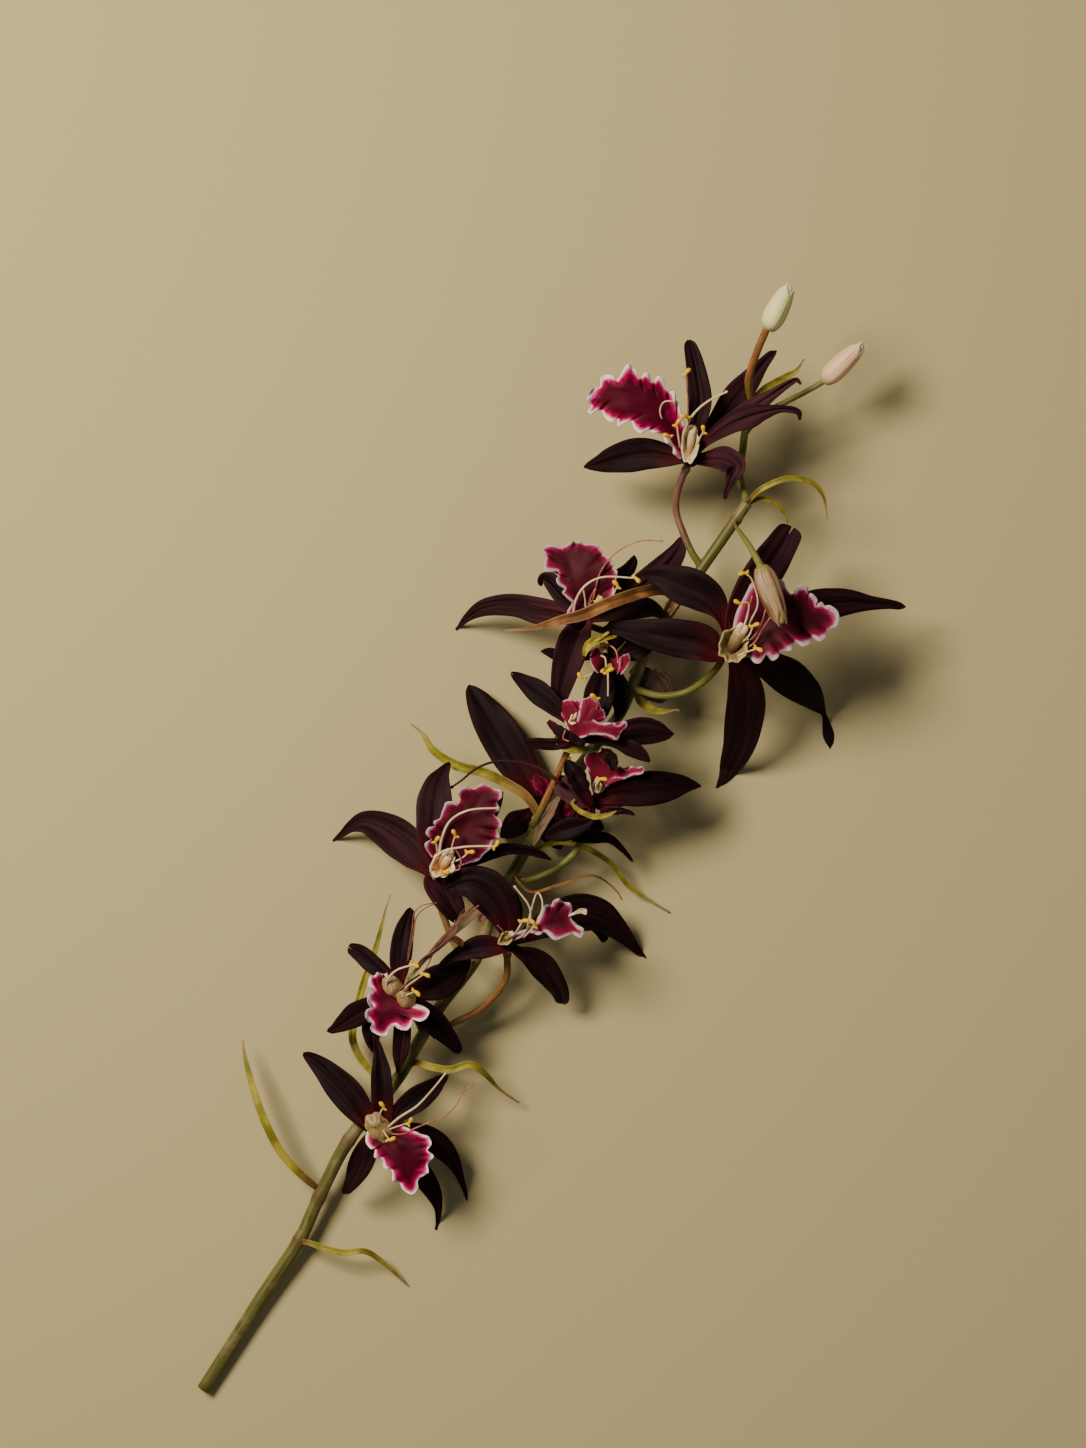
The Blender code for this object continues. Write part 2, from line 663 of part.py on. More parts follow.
def column_shapes(bloom):
    """The hood over the lip's base, and the filaments around it."""
    column = bloom.column
    heart = Vector(bloom.heart)
    ahead = compass(column.turn)
    foot = heart - ahead * column.length * 0.3 + Vector((0, 0, CORE_RADIUS * 0.9))
    line = (
        foot,
        foot + Vector((0, 0, column.radius * 2.2)),
        heart + ahead * column.length * 0.7 + Vector((0, 0, CORE_RADIUS + column.radius * 1.1)),
    )
    points = [bezier(*line, i / (len(HOOD_SHAPE) - 1)) for i in range(len(HOOD_SHAPE))]
    shapes = [tube("hood", points, [column.radius * share for share in HOOD_SHAPE], HOOD_SIDES)]
    for thread in bloom.threads:
        shapes += thread_shapes(bloom, thread)
    return shapes


def stalk_radii(count, radius):
    """Slender, then swelling into the ovary just under the bloom."""
    return [radius * (1 + STALK_SWELL * smooth((i / (count - 1) - 0.6) / 0.4)) for i in range(count)]


def stem_radius(place):
    """The stem's radius at a place in STEM: it thins upwards, and swells at each joint."""
    radius = STEM_RADIUS_FOOT + (STEM_RADIUS_TOP - STEM_RADIUS_FOOT) * place / (len(STEM) - 1)
    for joint in STEM_JOINTS:
        radius += NODE_SWELL * math.exp(-(((place - joint) / NODE_LENGTH) ** 2))
    return radius


def stem_tube(name, extra):
    found = evenly(STEM, STEP_ALONG_STEM)
    return tube(name, [p for _, p in found], [stem_radius(t) + extra for t, _ in found], STEM_SIDES)


def stalk_tube(name, path, radius, extra, sides=STALK_SIDES, swelling=True):
    found = [p for _, p in evenly(path, STEP_ALONG_STALK)]
    radii = stalk_radii(len(found), radius) if swelling else [radius] * len(found)
    if extra:
        found[-1] = found[-1] + (found[-1] - found[-2]).normalized() * extra
    return tube(name, found, [r + extra for r in radii], sides)


def make_stem(material):
    """The stem with every stalk that branches off it, as one body."""
    shapes = [stem_tube("stem", 0)]
    shapes.append(stalk_tube("branch", BUD_BRANCH, BRANCH_RADIUS, 0, swelling=False))
    for bloom in BLOOMS:
        shapes.append(stalk_tube("stalk", bloom.stalk, STALK_RADIUS, 0))
    for bud in BUDS:
        if bud.stalk:
            shapes.append(stalk_tube("stalk", bud.stalk, BUD_STALK_RADIUS, 0, swelling=False))
    return join("stem", shapes, material)


def raised(surface):
    """The surface a gap higher, for a cutter that leaves the gap on both sides of a blade."""
    return lambda u, v: surface(u, v) + Vector((0, 0, GAP))


def make_bloom(bloom, materials):
    heart = Vector(bloom.heart)
    petals = [ball("core", heart, CORE_RADIUS)]
    for petal in bloom.petals:
        petals.append(blade("petal", petal_surface(bloom, petal), PETAL_ROWS, PETAL_COLUMNS, PETAL_THICKNESS))
    body = join(bloom.name + "_petals", petals, materials["petal"])
    socket = stalk_tube("socket", bloom.stalk, STALK_RADIUS, GAP)
    cut(body, [socket])
    room = ball("room", heart, CORE_RADIUS + CORE_GAP)
    cutters = [room]
    if bloom.lip:
        surface = lip_surface(bloom, bloom.lip)
        lip = blade(bloom.name + "_lip", surface, LIP_ROWS, LIP_COLUMNS, LIP_THICKNESS, materials["lip"])
        cut(lip, [room])
        cutters.append(blade("clear", raised(surface), LIP_ROWS, LIP_COLUMNS, LIP_THICKNESS + 2 * GAP))
    if bloom.column:
        column = join(bloom.name + "_column", column_shapes(bloom), materials["column"])
        cut(column, cutters)
    for cutter in [*cutters, socket]:
        bpy.data.objects.remove(cutter)


def make_bud(bud, material):
    base, tip = Vector(bud.base), Vector(bud.tip)
    points = [base.lerp(tip, i / (len(BUD_SHAPE) - 1)) for i in range(len(BUD_SHAPE))]
    body = tube(bud.name, points, [bud.radius * share for share in BUD_SHAPE], BUD_SIDES, material)
    stalk = bud.stalk or BUD_BRANCH
    radius = BUD_STALK_RADIUS if bud.stalk else BRANCH_RADIUS
    socket = stalk_tube("socket", stalk, radius, GAP, swelling=False)
    cut(body, [socket])
    bpy.data.objects.remove(socket)


def make_bracts(material):
    clear = [stem_tube("clear", GAP), stalk_tube("clear", BUD_BRANCH, BRANCH_RADIUS, GAP, swelling=False)]
    clear += [stalk_tube("clear", bloom.stalk, STALK_RADIUS, GAP) for bloom in BLOOMS]
    for bract in BRACTS:
        body = blade(bract.name, bract_surface(bract), BRACT_ROWS, BRACT_COLUMNS, BRACT_THICKNESS, material)
        cut(body, clear)
    for cutter in clear:
        bpy.data.objects.remove(cutter)


def main():
    for obj in list(bpy.data.objects):
        bpy.data.objects.remove(obj)
    materials = {name: new_material(name, colour, 0.55) for name, colour in COLOURS.items()}
    make_stem(materials["stem"])
    for bloom in BLOOMS:
        make_bloom(bloom, materials)
    for bud in BUDS:
        make_bud(bud, materials["bud"])
    make_bracts(materials["bract"])
    for obj in bpy.context.scene.objects:
        obj.data.shade_smooth()
        obj.data.set_sharp_from_angle(angle=math.radians(50))


main()
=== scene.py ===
"""The looks of a cut spray of dark orchids, lying on a pale table and seen from straight above.

Every node of the frame is replaced by a finer piece of the same form: petals with veins and waved edges, lips
with a ruffled, pale rim, columns with their filaments, ribbed buds, bracts, and a jointed stem.
Lengths are in millimetres, and a piece's mesh is made in metres.
"""

import math
import random
from collections import namedtuple

import bmesh
import bpy
from mathutils import Matrix, Vector, kdtree, noise


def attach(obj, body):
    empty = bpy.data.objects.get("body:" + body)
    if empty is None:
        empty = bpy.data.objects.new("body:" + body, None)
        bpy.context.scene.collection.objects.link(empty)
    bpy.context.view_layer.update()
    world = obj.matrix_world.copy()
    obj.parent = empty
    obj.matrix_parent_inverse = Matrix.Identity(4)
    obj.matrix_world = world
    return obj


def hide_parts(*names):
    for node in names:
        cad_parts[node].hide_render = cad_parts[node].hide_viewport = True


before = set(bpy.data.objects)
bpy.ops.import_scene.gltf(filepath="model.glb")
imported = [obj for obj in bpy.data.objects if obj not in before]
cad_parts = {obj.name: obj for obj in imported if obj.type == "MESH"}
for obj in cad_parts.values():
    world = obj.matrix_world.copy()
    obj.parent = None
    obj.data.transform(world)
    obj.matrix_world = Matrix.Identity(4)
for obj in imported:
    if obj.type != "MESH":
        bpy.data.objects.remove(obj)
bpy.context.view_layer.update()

MM = 0.001
ORIGIN = Vector((1.7, -49.2, 0.0))
UP = Vector((0, 0, 1))

# Driving dimensions, as in the solids.
STEM_RADIUS_FOOT = 2.9
STEM_RADIUS_TOP = 2.3
NODE_SWELL = 0.4
NODE_LENGTH = 0.1
STALK_RADIUS = 1.5
STALK_SWELL = 0.35
BUD_STALK_RADIUS = 1.2
BRANCH_RADIUS = 1.6
CORE_RADIUS = 3.8
ROOT_DEPTH = 2.4
ANTHER_LENGTH = 4.2
LIP_LIFT = 1.5
PETAL_BASE, PETAL_WIDEST, PETAL_TIP = 0.28, 0.46, 0.03
PETAL_WAVES = 1.6
BRACT_BASE = 0.22
BUD_SHAPE = (0.5, 0.86, 1, 1, 0.94, 0.83, 0.66, 0.36)

# The fine pieces: the stem and stalks are a little slimmer than the solids, and the blades are thinner.
FINE_STEM = 0.92
ANTHER_RADIUS = 0.85
PETAL_THICKNESS = 0.6
LIP_THICKNESS = 0.5
BRACT_THICKNESS = 0.6
SCRAP_THICKNESS = 0.4
TEPAL_THICKNESS = 0.3
CUP_THICKNESS = 0.7

# The photograph: its camera looks straight down from this height, over the point of the table in its middle.
CAMERA_HEIGHT = 1.367
PHOTO_MIDDLE = (543, 724)
PHOTO_HEIGHT_PX = 1448
METRES_PER_PX = 0.0004

# A petal as the photograph shows it. tip_z is the height of its tip, rise how far it arches, cup how far its
# sides lift, tone how mauve it is and notch how deep its tip is split. The path runs from the heart to the
# tip, by the photograph's pixels: its middle, and its width there. A hidden petal is given as in the solids.
Petal = namedtuple("Petal", "tip_z rise cup tone notch path")
Hidden = namedtuple("Hidden", "turn reach tip_z width rise bend cup tone notch", defaults=(0, 0.2, 0.1, 0))

# The first six values are as in the solids. white is how broad the pale rim is, ruffle how far the lobes rise
# and arch how far the sides lift. Each edge runs from one side of the claw round the end to the other side,
# by the photograph's pixels.
Lip = namedtuple("Lip", "turn reach tip_z width bend rise white ruffle arch edges")

# hood is the skin of the cups, which are closed where the column is capped. Each cup has its middle by the
# photograph's pixels, and half its length and width.
Column = namedtuple("Column", "turn radius hood capped cups")

# A stalk's tone is its colour: green, olive, tan, orange or mauve. core is the radius of the bloom's core.
Bloom = namedtuple("Bloom", "name heart tone stalk petals lip column core", defaults=(CORE_RADIUS,))

# wedge is how much a bud's stalk widens upward, and ribs how far its ribs stand out.
Bud = namedtuple("Bud", "name base tip radius stalk wedge ribs", defaults=(0, 0.012))

# foot is the share of a bract's length that is brown.
Bract = namedtuple("Bract", "name width path skin foot", defaults=("bract", 0.08))

STEM = [
    (-135.5, -265.5, 2.9), (-112.5, -229, 4.8), (-97, -205.5, 7), (-89, -188, 9), (-77, -165, 12),
    (-58, -141, 15), (-50.5, -128, 17), (-40, -110.5, 19), (-27, -93.5, 21), (-21.5, -78.5, 22),
    (-15, -63.5, 23.5), (-3, -43.5, 25.5), (7.5, -27, 27.5), (18.5, -11, 29), (30, 4, 30),
    (35.5, 16.5, 31), (41, 29.5, 32), (50.5, 45.5, 33), (62.5, 61.5, 34), (75, 79.5, 36),
    (79.5, 86, 37),
]
STEM_JOINTS = (2, 3, 4, 8.4, 12.6, 17.3, 19)

BUD_BRANCH = [
    (79.5, 86, 37), (76.8, 97, 33), (78, 106, 29.5), (79, 114, 29), (80.5, 121, 32), (81, 125.5, 37),
    (79.5, 133, 45), (82.5, 143.5, 52.5), (86, 152, 57.5),
]

BLOOMS = [
    Bloom(
        "bloom_01", (-65, -158, 31), "tan",
        [(-72.5, -158.5, 12.5), (-70, -158, 19), (-66, -158, 25), (-65, -158, 29.5)],
        [
            Petal(22, 3, 0.2, 0.1, 0, [(375, 1132, 10), (365, 1118, 22), (353, 1101, 32), (339, 1085, 31),
                                       (324, 1069, 22), (312, 1059, 13), (303, 1054, 6)]),
            Petal(26, 3, 0.3, 0.1, 0, [(384, 1125, 14), (383, 1108, 21), (382, 1090, 22), (381, 1070, 19),
                                       (379, 1053, 11), (376, 1038, 4)]),
            Petal(24, 3, 0.25, 0.1, 0, [(388, 1125, 10), (402, 1110, 20), (417, 1099, 25), (431, 1089, 20),
                                        (441, 1080, 11), (448, 1075, 5)]),
            Petal(-2, 4, 0.2, 0.1, 0, [(392, 1128, 10), (415, 1132, 20), (434, 1141, 24), (449, 1156, 19),
                                       (458, 1172, 10), (464, 1188, 5), (467, 1200, 2)]),
            Petal(-2, 2, 0.2, 0.1, 0, [(390, 1133, 8), (408, 1155, 18), (423, 1176, 22), (433, 1192, 17),
                                       (438, 1207, 9), (438, 1219, 5), (436, 1229, 2)]),
            Petal(14, 3, 0.2, 0.3, 0, [(375, 1132, 10), (367, 1148, 22), (361, 1163, 25), (354, 1178, 18),
                                       (348, 1188, 11), (344, 1194, 6)]),
        ],
        Lip(-62, 31, 33, 26, 3, 3, 1.0, 0.9, 0.12, [
            [(368, 1130), (366, 1135), (366, 1142), (371, 1148), (375, 1148), (375, 1156), (383, 1158),
             (384, 1166), (392, 1170), (393, 1179), (400, 1183), (403, 1189), (412, 1194), (418, 1188),
             (418, 1180), (424, 1175), (429, 1171), (428, 1163), (434, 1155), (428, 1149), (432, 1143),
             (429, 1135), (422, 1133), (414, 1130), (404, 1126)],
        ]),
        Column(-50, 3.9, "hood_tan", True, [(378, 1127, 6.2, 4.3)]),
    ),
    Bloom(
        "bloom_02", (-57, -104, 36), "olive",
        [(-47, -122, 18), (-52, -112, 22), (-56, -105.5, 28), (-57, -104, 34.5)],
        [
            Petal(29, 3, 0.2, 0.2, 0.08, [(395, 985, 10), (382, 972, 17), (370, 962, 19), (360, 953, 17),
                                          (352, 949, 12), (348, 947, 8)]),
            Petal(30, 3, 0.25, 0.1, 0, [(398, 985, 10), (400, 965, 20), (402, 945, 23), (405, 928, 18),
                                        (409, 915, 11), (411, 908, 6)]),
            Petal(26, 3, 0.2, 0.1, 0, [(402, 992, 12), (420, 988, 26), (436, 983, 35), (451, 975, 30),
                                       (462, 966, 18), (470, 957, 5)]),
            Petal(22, 3, 0.2, 0.1, 0, [(402, 996, 10), (418, 1008, 22), (434, 1022, 25), (447, 1036, 19),
                                       (456, 1047, 12), (460, 1053, 6)]),
            Petal(21, 2, 0.25, 0.5, 0, [(399, 998, 8), (402, 1020, 16), (402, 1038, 18), (400, 1055, 15),
                                        (399, 1066, 8), (398, 1073, 3)]),
            Petal(17, 2, 0.2, 0.5, 0, [(394, 1000, 8), (374, 1022, 20), (372, 1038, 16), (376, 1054, 4)]),
            Petal(20, 3, 0.2, 0.2, 0, [(392, 996, 10), (374, 1005, 20), (357, 1014, 25), (343, 1023, 17),
                                       (334, 1029, 9), (328, 1032, 5)]),
        ],
        Lip(-92, 18, 34, 25, -2, 4, 1.1, 1.3, 0.1, [
            [(392, 984), (387, 979), (388, 972), (384, 974), (378, 971), (375, 975), (370, 976), (369, 984),
             (375, 989), (369, 993), (369, 1001), (375, 1005), (367, 1009), (366, 1017), (373, 1022),
             (371, 1029), (377, 1035), (386, 1036), (389, 1029), (396, 1023), (400, 1028), (407, 1029),
             (412, 1024), (413, 1018), (420, 1020), (427, 1017), (430, 1010), (424, 1006), (415, 1005),
             (406, 999)],
        ]),
        Column(-45, 3.6, "hood_tan", True, [(393, 986, 4.4, 3.4), (406, 998, 4.0, 3.2)]),
    ),
    Bloom(
        "bloom_03", (-14, -84, 38), "orange",
        [(-44, -123, 18), (-36, -118.5, 17), (-24, -112, 18), (-15, -101, 24), (-14, -91, 30),
         (-14, -85.5, 36)],
        [
            Petal(41, 5, 0.15, 0.15, 0.06, [(510, 940, 10), (505, 915, 32), (492, 894, 42), (474, 883, 36),
                                            (458, 884, 24), (447, 890, 12)]),
            Petal(35, 3, 0.2, 0.2, 0, [(510, 946, 10), (495, 946, 19), (480, 947, 24), (466, 951, 18),
                                       (453, 957, 11), (444, 963, 7), (437, 969, 3)]),
            Petal(12, 4, 0.2, 0.3, 0, [(516, 950, 10), (531, 957, 22), (543, 967, 27), (553, 980, 23),
                                       (560, 992, 18), (563, 1004, 12)]),
            Petal(-2, 5, 0.15, 0.2, 0, [(520, 938, 12), (550, 922, 30), (575, 913, 38), (598, 915, 34),
                                        (615, 927, 24), (628, 940, 14), (638, 951, 8), (646, 957, 3)]),
            Hidden(81, 19, 34, 9, 2),
            Petal(8, 3, 0.2, 0.1, 0, [(525, 938, 8), (560, 922, 16), (585, 918, 16), (597, 926, 14),
                                      (603, 934, 12), (604, 942, 8)]),
        ],
        Lip(13, 31, 45, 17, 3, 4, 1.0, 1.2, 0.3, [
            [(510, 936), (524, 930), (532, 927), (538, 921), (542, 911), (545, 904), (553, 904), (554, 899),
             (559, 897), (563, 901), (570, 902), (572, 908), (570, 914), (573, 921), (578, 926), (584, 929),
             (581, 937), (573, 933), (563, 937), (555, 939), (550, 934), (546, 930), (540, 934), (535, 933),
             (528, 931), (522, 937), (514, 941), (507, 945)],
        ]),
        Column(40, 2.9, "hood_tan", False, [(506, 938, 3.4, 2.4)]),
    ),
    Bloom(
        "bloom_04", (-39, -54, 40), "tan",
        [(-27, -93.5, 21), (-34, -88, 20), (-38, -79, 21), (-41, -68, 27), (-40, -58, 33), (-39, -55, 38.5)],
        [
            Petal(-1, 7, 0.2, 0.4, 0, [(434, 872, 12), (420, 857, 32), (402, 841, 39), (384, 829, 34),
                                       (366, 822, 23), (352, 826, 12), (342, 834, 6), (333, 841, 3)]),
            Petal(33, 4, 0.25, 0.4, 0, [(436, 862, 10), (430, 840, 24), (433, 818, 34), (435, 800, 35),
                                        (438, 784, 26), (443, 773, 14), (450, 763, 4)]),
            Petal(18, 2, 0.25, 0.9, 0, [(438, 868, 16), (439, 880, 33), (446, 895, 30), (453, 908, 24),
                                        (458, 918, 14), (460, 926, 4)]),
            Petal(33, 5, 0.25, 0.2, 0, [(440, 868, 8), (470, 862, 10), (490, 853, 14), (508, 849, 12),
                                        (525, 850, 10), (540, 854, 8), (551, 860, 2)]),
            Hidden(50, 36, 29, 12, 3),
        ],
        Lip(53, 37, 47, 26, 0, 4, 0.8, 0.8, 0.15, [
            [(431, 857), (426, 849), (425, 843), (431, 839), (426, 833), (429, 827), (435, 826), (434, 821),
             (440, 818), (442, 812), (444, 807), (446, 802), (453, 801), (458, 804), (460, 797), (458, 791),
             (465, 786), (471, 789), (476, 787), (483, 783), (489, 785), (493, 789), (501, 790), (502, 797),
             (497, 802), (500, 809), (494, 814), (501, 820), (502, 826), (496, 829), (500, 836), (493, 840),
             (491, 848), (484, 854), (479, 860), (469, 863), (456, 868)],
        ]),
        Column(60, 3.8, "hood_cream", False, [(443, 864, 5.4, 4.6)]),
    ),
    Bloom(
        "bloom_05", (12, -5, 47), "orange",
        [(-4, -40, 26), (0, -32, 31), (5, -21, 35), (9, -12, 39), (12, -5, 45.5)],
        [
            Petal(36, 3, 0.2, 0.1, 0.05, [(575, 725, 10), (553, 705, 20), (538, 692, 24), (523, 681, 15),
                                          (511, 673, 4)]),
            Petal(38, 2, 0.2, 0.1, 0, [(575, 740, 8), (558, 744, 12), (545, 744, 12), (533, 743, 10),
                                       (524, 744, 3)]),
            Petal(37, 3, 0.2, 0.3, 0, [(596, 735, 10), (620, 733, 22), (640, 731, 28), (656, 732, 23),
                                       (667, 734, 12), (674, 734, 3)]),
            Petal(46, 2, 0.2, 0.3, 0, [(612, 742, 10), (630, 748, 17), (642, 755, 12), (650, 762, 3)]),
            Petal(42, 2, 0.2, 0.1, 0, [(590, 726, 14), (596, 709, 28), (600, 691, 30), (604, 675, 22),
                                       (606, 664, 8)]),
        ],
        Lip(58, 15, 55, 25, 0, 4, 0.55, 1.0, -0.4, [
            [(568, 730), (563, 718), (557, 709), (560, 703), (568, 699), (574, 701), (579, 699), (583, 704),
             (583, 711), (589, 713), (593, 720), (601, 724), (611, 723), (618, 726), (625, 721), (627, 726),
             (621, 732), (617, 740), (611, 736), (603, 734), (592, 734), (585, 737), (579, 738)],
            [(578, 720), (580, 707), (582, 700), (587, 698), (592, 696), (595, 701), (599, 702), (601, 708),
             (604, 711), (605, 718), (601, 724), (594, 728)],
        ]),
        # Painted highlight: this small cream cup is partly the column and partly a pale spot that stands in
        # for light on the lip.
        Column(60, 2.4, "hood_cream", False, [(574, 719, 2.4, 1.7)]),
        3.0,
    ),
    Bloom(
        "bloom_06", (26, 25, 36), "olive",
        [(34, 13, 30.5), (30, 19, 29), (26.5, 24, 31), (26, 25, 34.5)],
        [
            Hidden(22, 20, 38, 9, 2),
            Petal(35.5, 2, 0.1, 0.1, 0, [(608, 664, 10), (614, 678, 20), (618, 692, 24), (620, 706, 16),
                                         (618, 717, 6)]),
            Petal(31, 2, 0.2, 0.1, 0, [(600, 655, 8), (575, 656, 12), (558, 655, 12), (549, 652, 9),
                                       (541, 651, 3)]),
            Hidden(80, 17, 36, 9, 2),
        ],
        Lip(-100, 10, 42, 11, 0, 2, 0.25, 0.5, 0.5, [
            [(605, 672), (599, 674), (594, 670), (590, 661), (592, 650), (597, 647), (601, 651), (604, 658),
             (607, 668)],
            [(617, 674), (620, 668), (621, 659), (627, 654), (630, 659), (627, 667), (621, 675)],
        ]),
        Column(-80, 1.8, "hood_tan", False, [(603, 645, 2.6, 2.0)]),
        2.4,
    ),
    Bloom(
        "bloom_07", (72, 30, 53), "green",
        [(36, 13.5, 31), (46.5, 11, 32), (57, 13, 34), (66, 20, 40), (71, 28, 46), (72, 30, 51.5)],
        [
            Petal(44, 4, 0.3, 0.3, 0.07, [(729, 640, 10), (738, 612, 24), (752, 590, 36), (768, 566, 37),
                                          (780, 548, 32), (788, 535, 27), (793, 527, 22)]),
            Petal(32, 5, 0.2, 0.2, 0, [(745, 635, 12), (780, 620, 24), (810, 607, 32), (835, 603, 30),
                                       (852, 602, 24), (870, 603, 15), (888, 604, 10), (900, 606, 8),
                                       (906, 607, 5)]),
            Petal(-15, 9, 0.2, 0.1, 0, [(740, 655, 10), (765, 664, 28), (788, 677, 38), (806, 691, 30),
                                        (817, 704, 17), (824, 714, 5), (826, 722, 7), (827, 733, 11),
                                        (827, 742, 8), (826, 748, 3)]),
            Petal(-16, 9, 0.2, 0.2, 0, [(733, 655, 12), (742, 675, 30), (746, 700, 39), (743, 725, 38),
                                        (739, 745, 32), (732, 762, 24), (724, 777, 12), (715, 787, 3)]),
            Petal(45, 4, 0.15, 0.1, 0, [(729, 648, 10), (716, 650, 26), (700, 642, 38), (675, 638, 38),
                                        (650, 634, 31), (625, 629, 18), (611, 628, 10), (600, 630, 3)]),
            Petal(47, 4, 0.15, 0.1, 0, [(729, 640, 8), (723, 618, 14), (713, 602, 30), (698, 591, 39),
                                        (680, 584, 38), (662, 577, 26), (650, 575, 15), (643, 575, 5)]),
        ],
        Lip(13, 44, 57, 29, 3, 4, 1.5, 1.1, 0.12, [
            [(732, 634), (733, 625), (736, 612), (741, 602), (747, 590), (750, 584), (756, 582), (762, 585),
             (769, 580), (776, 579), (782, 582), (785, 588), (790, 594), (794, 593), (795, 588), (801, 585),
             (807, 588), (807, 593), (812, 594), (817, 600), (815, 606), (821, 602), (825, 607), (830, 606),
             (837, 611), (839, 619), (836, 627), (828, 630), (825, 638), (818, 642), (812, 637), (809, 644),
             (801, 647), (794, 642), (790, 651), (780, 652), (777, 658), (771, 661), (767, 654), (760, 663),
             (754, 663), (751, 657), (742, 658)],
        ]),
        Column(62, 4.8, "hood_tan", False, [(733, 645, 7.4, 5.6)]),
    ),
    Bloom(
        "bloom_08", (57, 103, 46), "mauve",
        [(62, 61, 34), (58, 67, 35), (54.5, 75, 34), (52, 83, 33), (52.5, 91, 36), (56, 100, 40),
         (57, 103, 44.5)],
        [
            Petal(41, 4, 0.2, 0.2, 0, [(694, 440, 12), (697, 420, 20), (700, 400, 24), (698, 380, 21),
                                       (694, 360, 18), (691, 348, 14), (689, 340, 9)]),
            Petal(23, 1, 0.2, 0.5, 0, [(700, 440, 10), (717, 422, 20), (735, 398, 28), (750, 380, 22),
                                       (763, 364, 13), (771, 355, 9), (777, 351, 5)]),
            Petal(41, 1.5, 0.2, 0.95, 0, [(705, 440, 8), (730, 422, 16), (755, 406, 18), (770, 396, 12),
                                          (785, 386, 8), (796, 380, 6), (801, 384, 3)]),
            Petal(41, 6, 0.2, 0.8, 0, [(705, 442, 10), (730, 424, 20), (750, 416, 24), (765, 412, 15),
                                       (780, 409, 8), (793, 410, 7), (799, 413, 6), (800, 420, 3)]),
            Petal(40, 3, 0.2, 0.7, 0, [(692, 460, 8), (708, 459, 16), (724, 459, 26), (736, 466, 20),
                                       (731, 479, 12), (727, 490, 7), (725, 499, 3)]),
            Petal(24, 5, 0.2, 0.1, 0, [(690, 458, 8), (670, 456, 22), (650, 454, 31), (630, 456, 33),
                                       (610, 460, 26), (596, 464, 15), (584, 467, 3)]),
        ],
        Lip(151, 44, 56, 22, -8, 5, 1.3, 1.2, 0.1, [
            [(684, 424), (681, 412), (677, 403), (673, 398), (674, 393), (667, 392), (664, 387), (663, 381),
             (657, 378), (652, 384), (649, 377), (644, 375), (639, 380), (636, 373), (628, 367), (623, 371),
             (617, 381), (612, 377), (605, 376), (600, 380), (600, 387), (594, 389), (589, 394), (587, 402),
             (591, 408), (587, 413), (592, 416), (597, 411), (602, 413), (605, 420), (611, 424), (617, 421),
             (617, 428), (624, 424), (631, 422), (633, 429), (637, 434), (642, 435), (648, 430), (652, 434),
             (659, 434), (663, 437), (666, 444), (673, 447), (673, 454), (680, 459)],
        ]),
        Column(82, 3.0, "hood_pink", False, [(690, 446, 7.6, 3.4)]),
    ),
    Bloom(
        "bloom_09", (13, 40, 42), "olive",
        [(42, 31, 32), (34, 33, 31), (22, 37, 32), (14.5, 39.5, 35), (13, 40, 40.5)],
        [
            Petal(-2, 9, 0.2, 0.4, 0, [(582, 620, 10), (560, 614, 22), (540, 611, 27), (520, 606, 24),
                                       (500, 605, 21), (483, 608, 17), (468, 617, 9), (456, 630, 2)]),
            Petal(33, 2, 0.2, 0.2, 0, [(580, 612, 10), (565, 597, 20), (553, 583, 18), (545, 577, 10),
                                       (541, 580, 7), (541, 586, 5)]),
            Petal(34, 3, 0.2, 0.1, 0, [(590, 615, 10), (607, 598, 24), (619, 582, 24), (628, 570, 15),
                                       (633, 562, 10), (635, 556, 5)]),
            Petal(31, 3, 0.2, 0.5, 0, [(592, 615, 10), (620, 600, 22), (645, 583, 26), (664, 568, 26),
                                       (675, 555, 20), (680, 545, 13), (681, 537, 6)]),
            Petal(38, 3, 0.2, 0.1, 0, [(590, 618, 10), (612, 612, 20), (632, 608, 24), (648, 608, 20),
                                       (658, 612, 12), (664, 619, 5)]),
            Petal(35, 4, 0.3, 0.4, 0, [(586, 618, 10), (577, 635, 30), (570, 655, 32), (564, 675, 26),
                                       (560, 695, 18), (557, 715, 8)]),
        ],
        Lip(93, 31, 47, 27, -3, 4, 0.8, 0.9, 0.15, [
            [(569, 620), (567, 612), (571, 605), (572, 601), (566, 597), (562, 593), (565, 588), (558, 585),
             (556, 580), (559, 575), (558, 571), (552, 571), (546, 571), (544, 567), (545, 561), (547, 556),
             (541, 552), (543, 548), (549, 545), (556, 546), (562, 549), (567, 545), (572, 541), (576, 543),
             (580, 541), (585, 545), (591, 544), (597, 545), (600, 549), (603, 555), (608, 558), (613, 564),
             (612, 569), (617, 572), (616, 581), (614, 587), (614, 594), (608, 601), (599, 610)],
        ]),
        Column(60, 3.2, "hood_cream", False, [(596, 604, 3.0, 2.4)]),
    ),
    Bloom(
        "bloom_10", (19, -30, 36), "green",
        [(-12.5, -61.5, 23), (-3, -60.5, 24), (9, -54, 25), (15, -46, 26), (18, -36, 29), (19, -30, 34.5)],
        [
            Petal(26, 4, 0.2, 0.1, 0, [(595, 800, 10), (620, 792, 28), (645, 789, 35), (665, 787, 31),
                                       (682, 785, 20), (693, 785, 10), (701, 786, 3)]),
            Petal(14, 3, 0.2, 0.1, 0, [(575, 815, 10), (574, 830, 20), (592, 836, 15), (610, 839, 9),
                                       (622, 849, 6), (633, 861, 3)]),
            Petal(34.5, 0, 0.2, 0.95, 0, [(594, 805, 6), (602, 804, 14), (614, 798, 22), (624, 791, 24),
                                          (633, 783, 8)]),
            Petal(33, 1, 0.2, 0.95, 0, [(590, 805, 6), (580, 800, 18), (568, 790, 22), (560, 782, 18),
                                        (556, 777, 6)]),
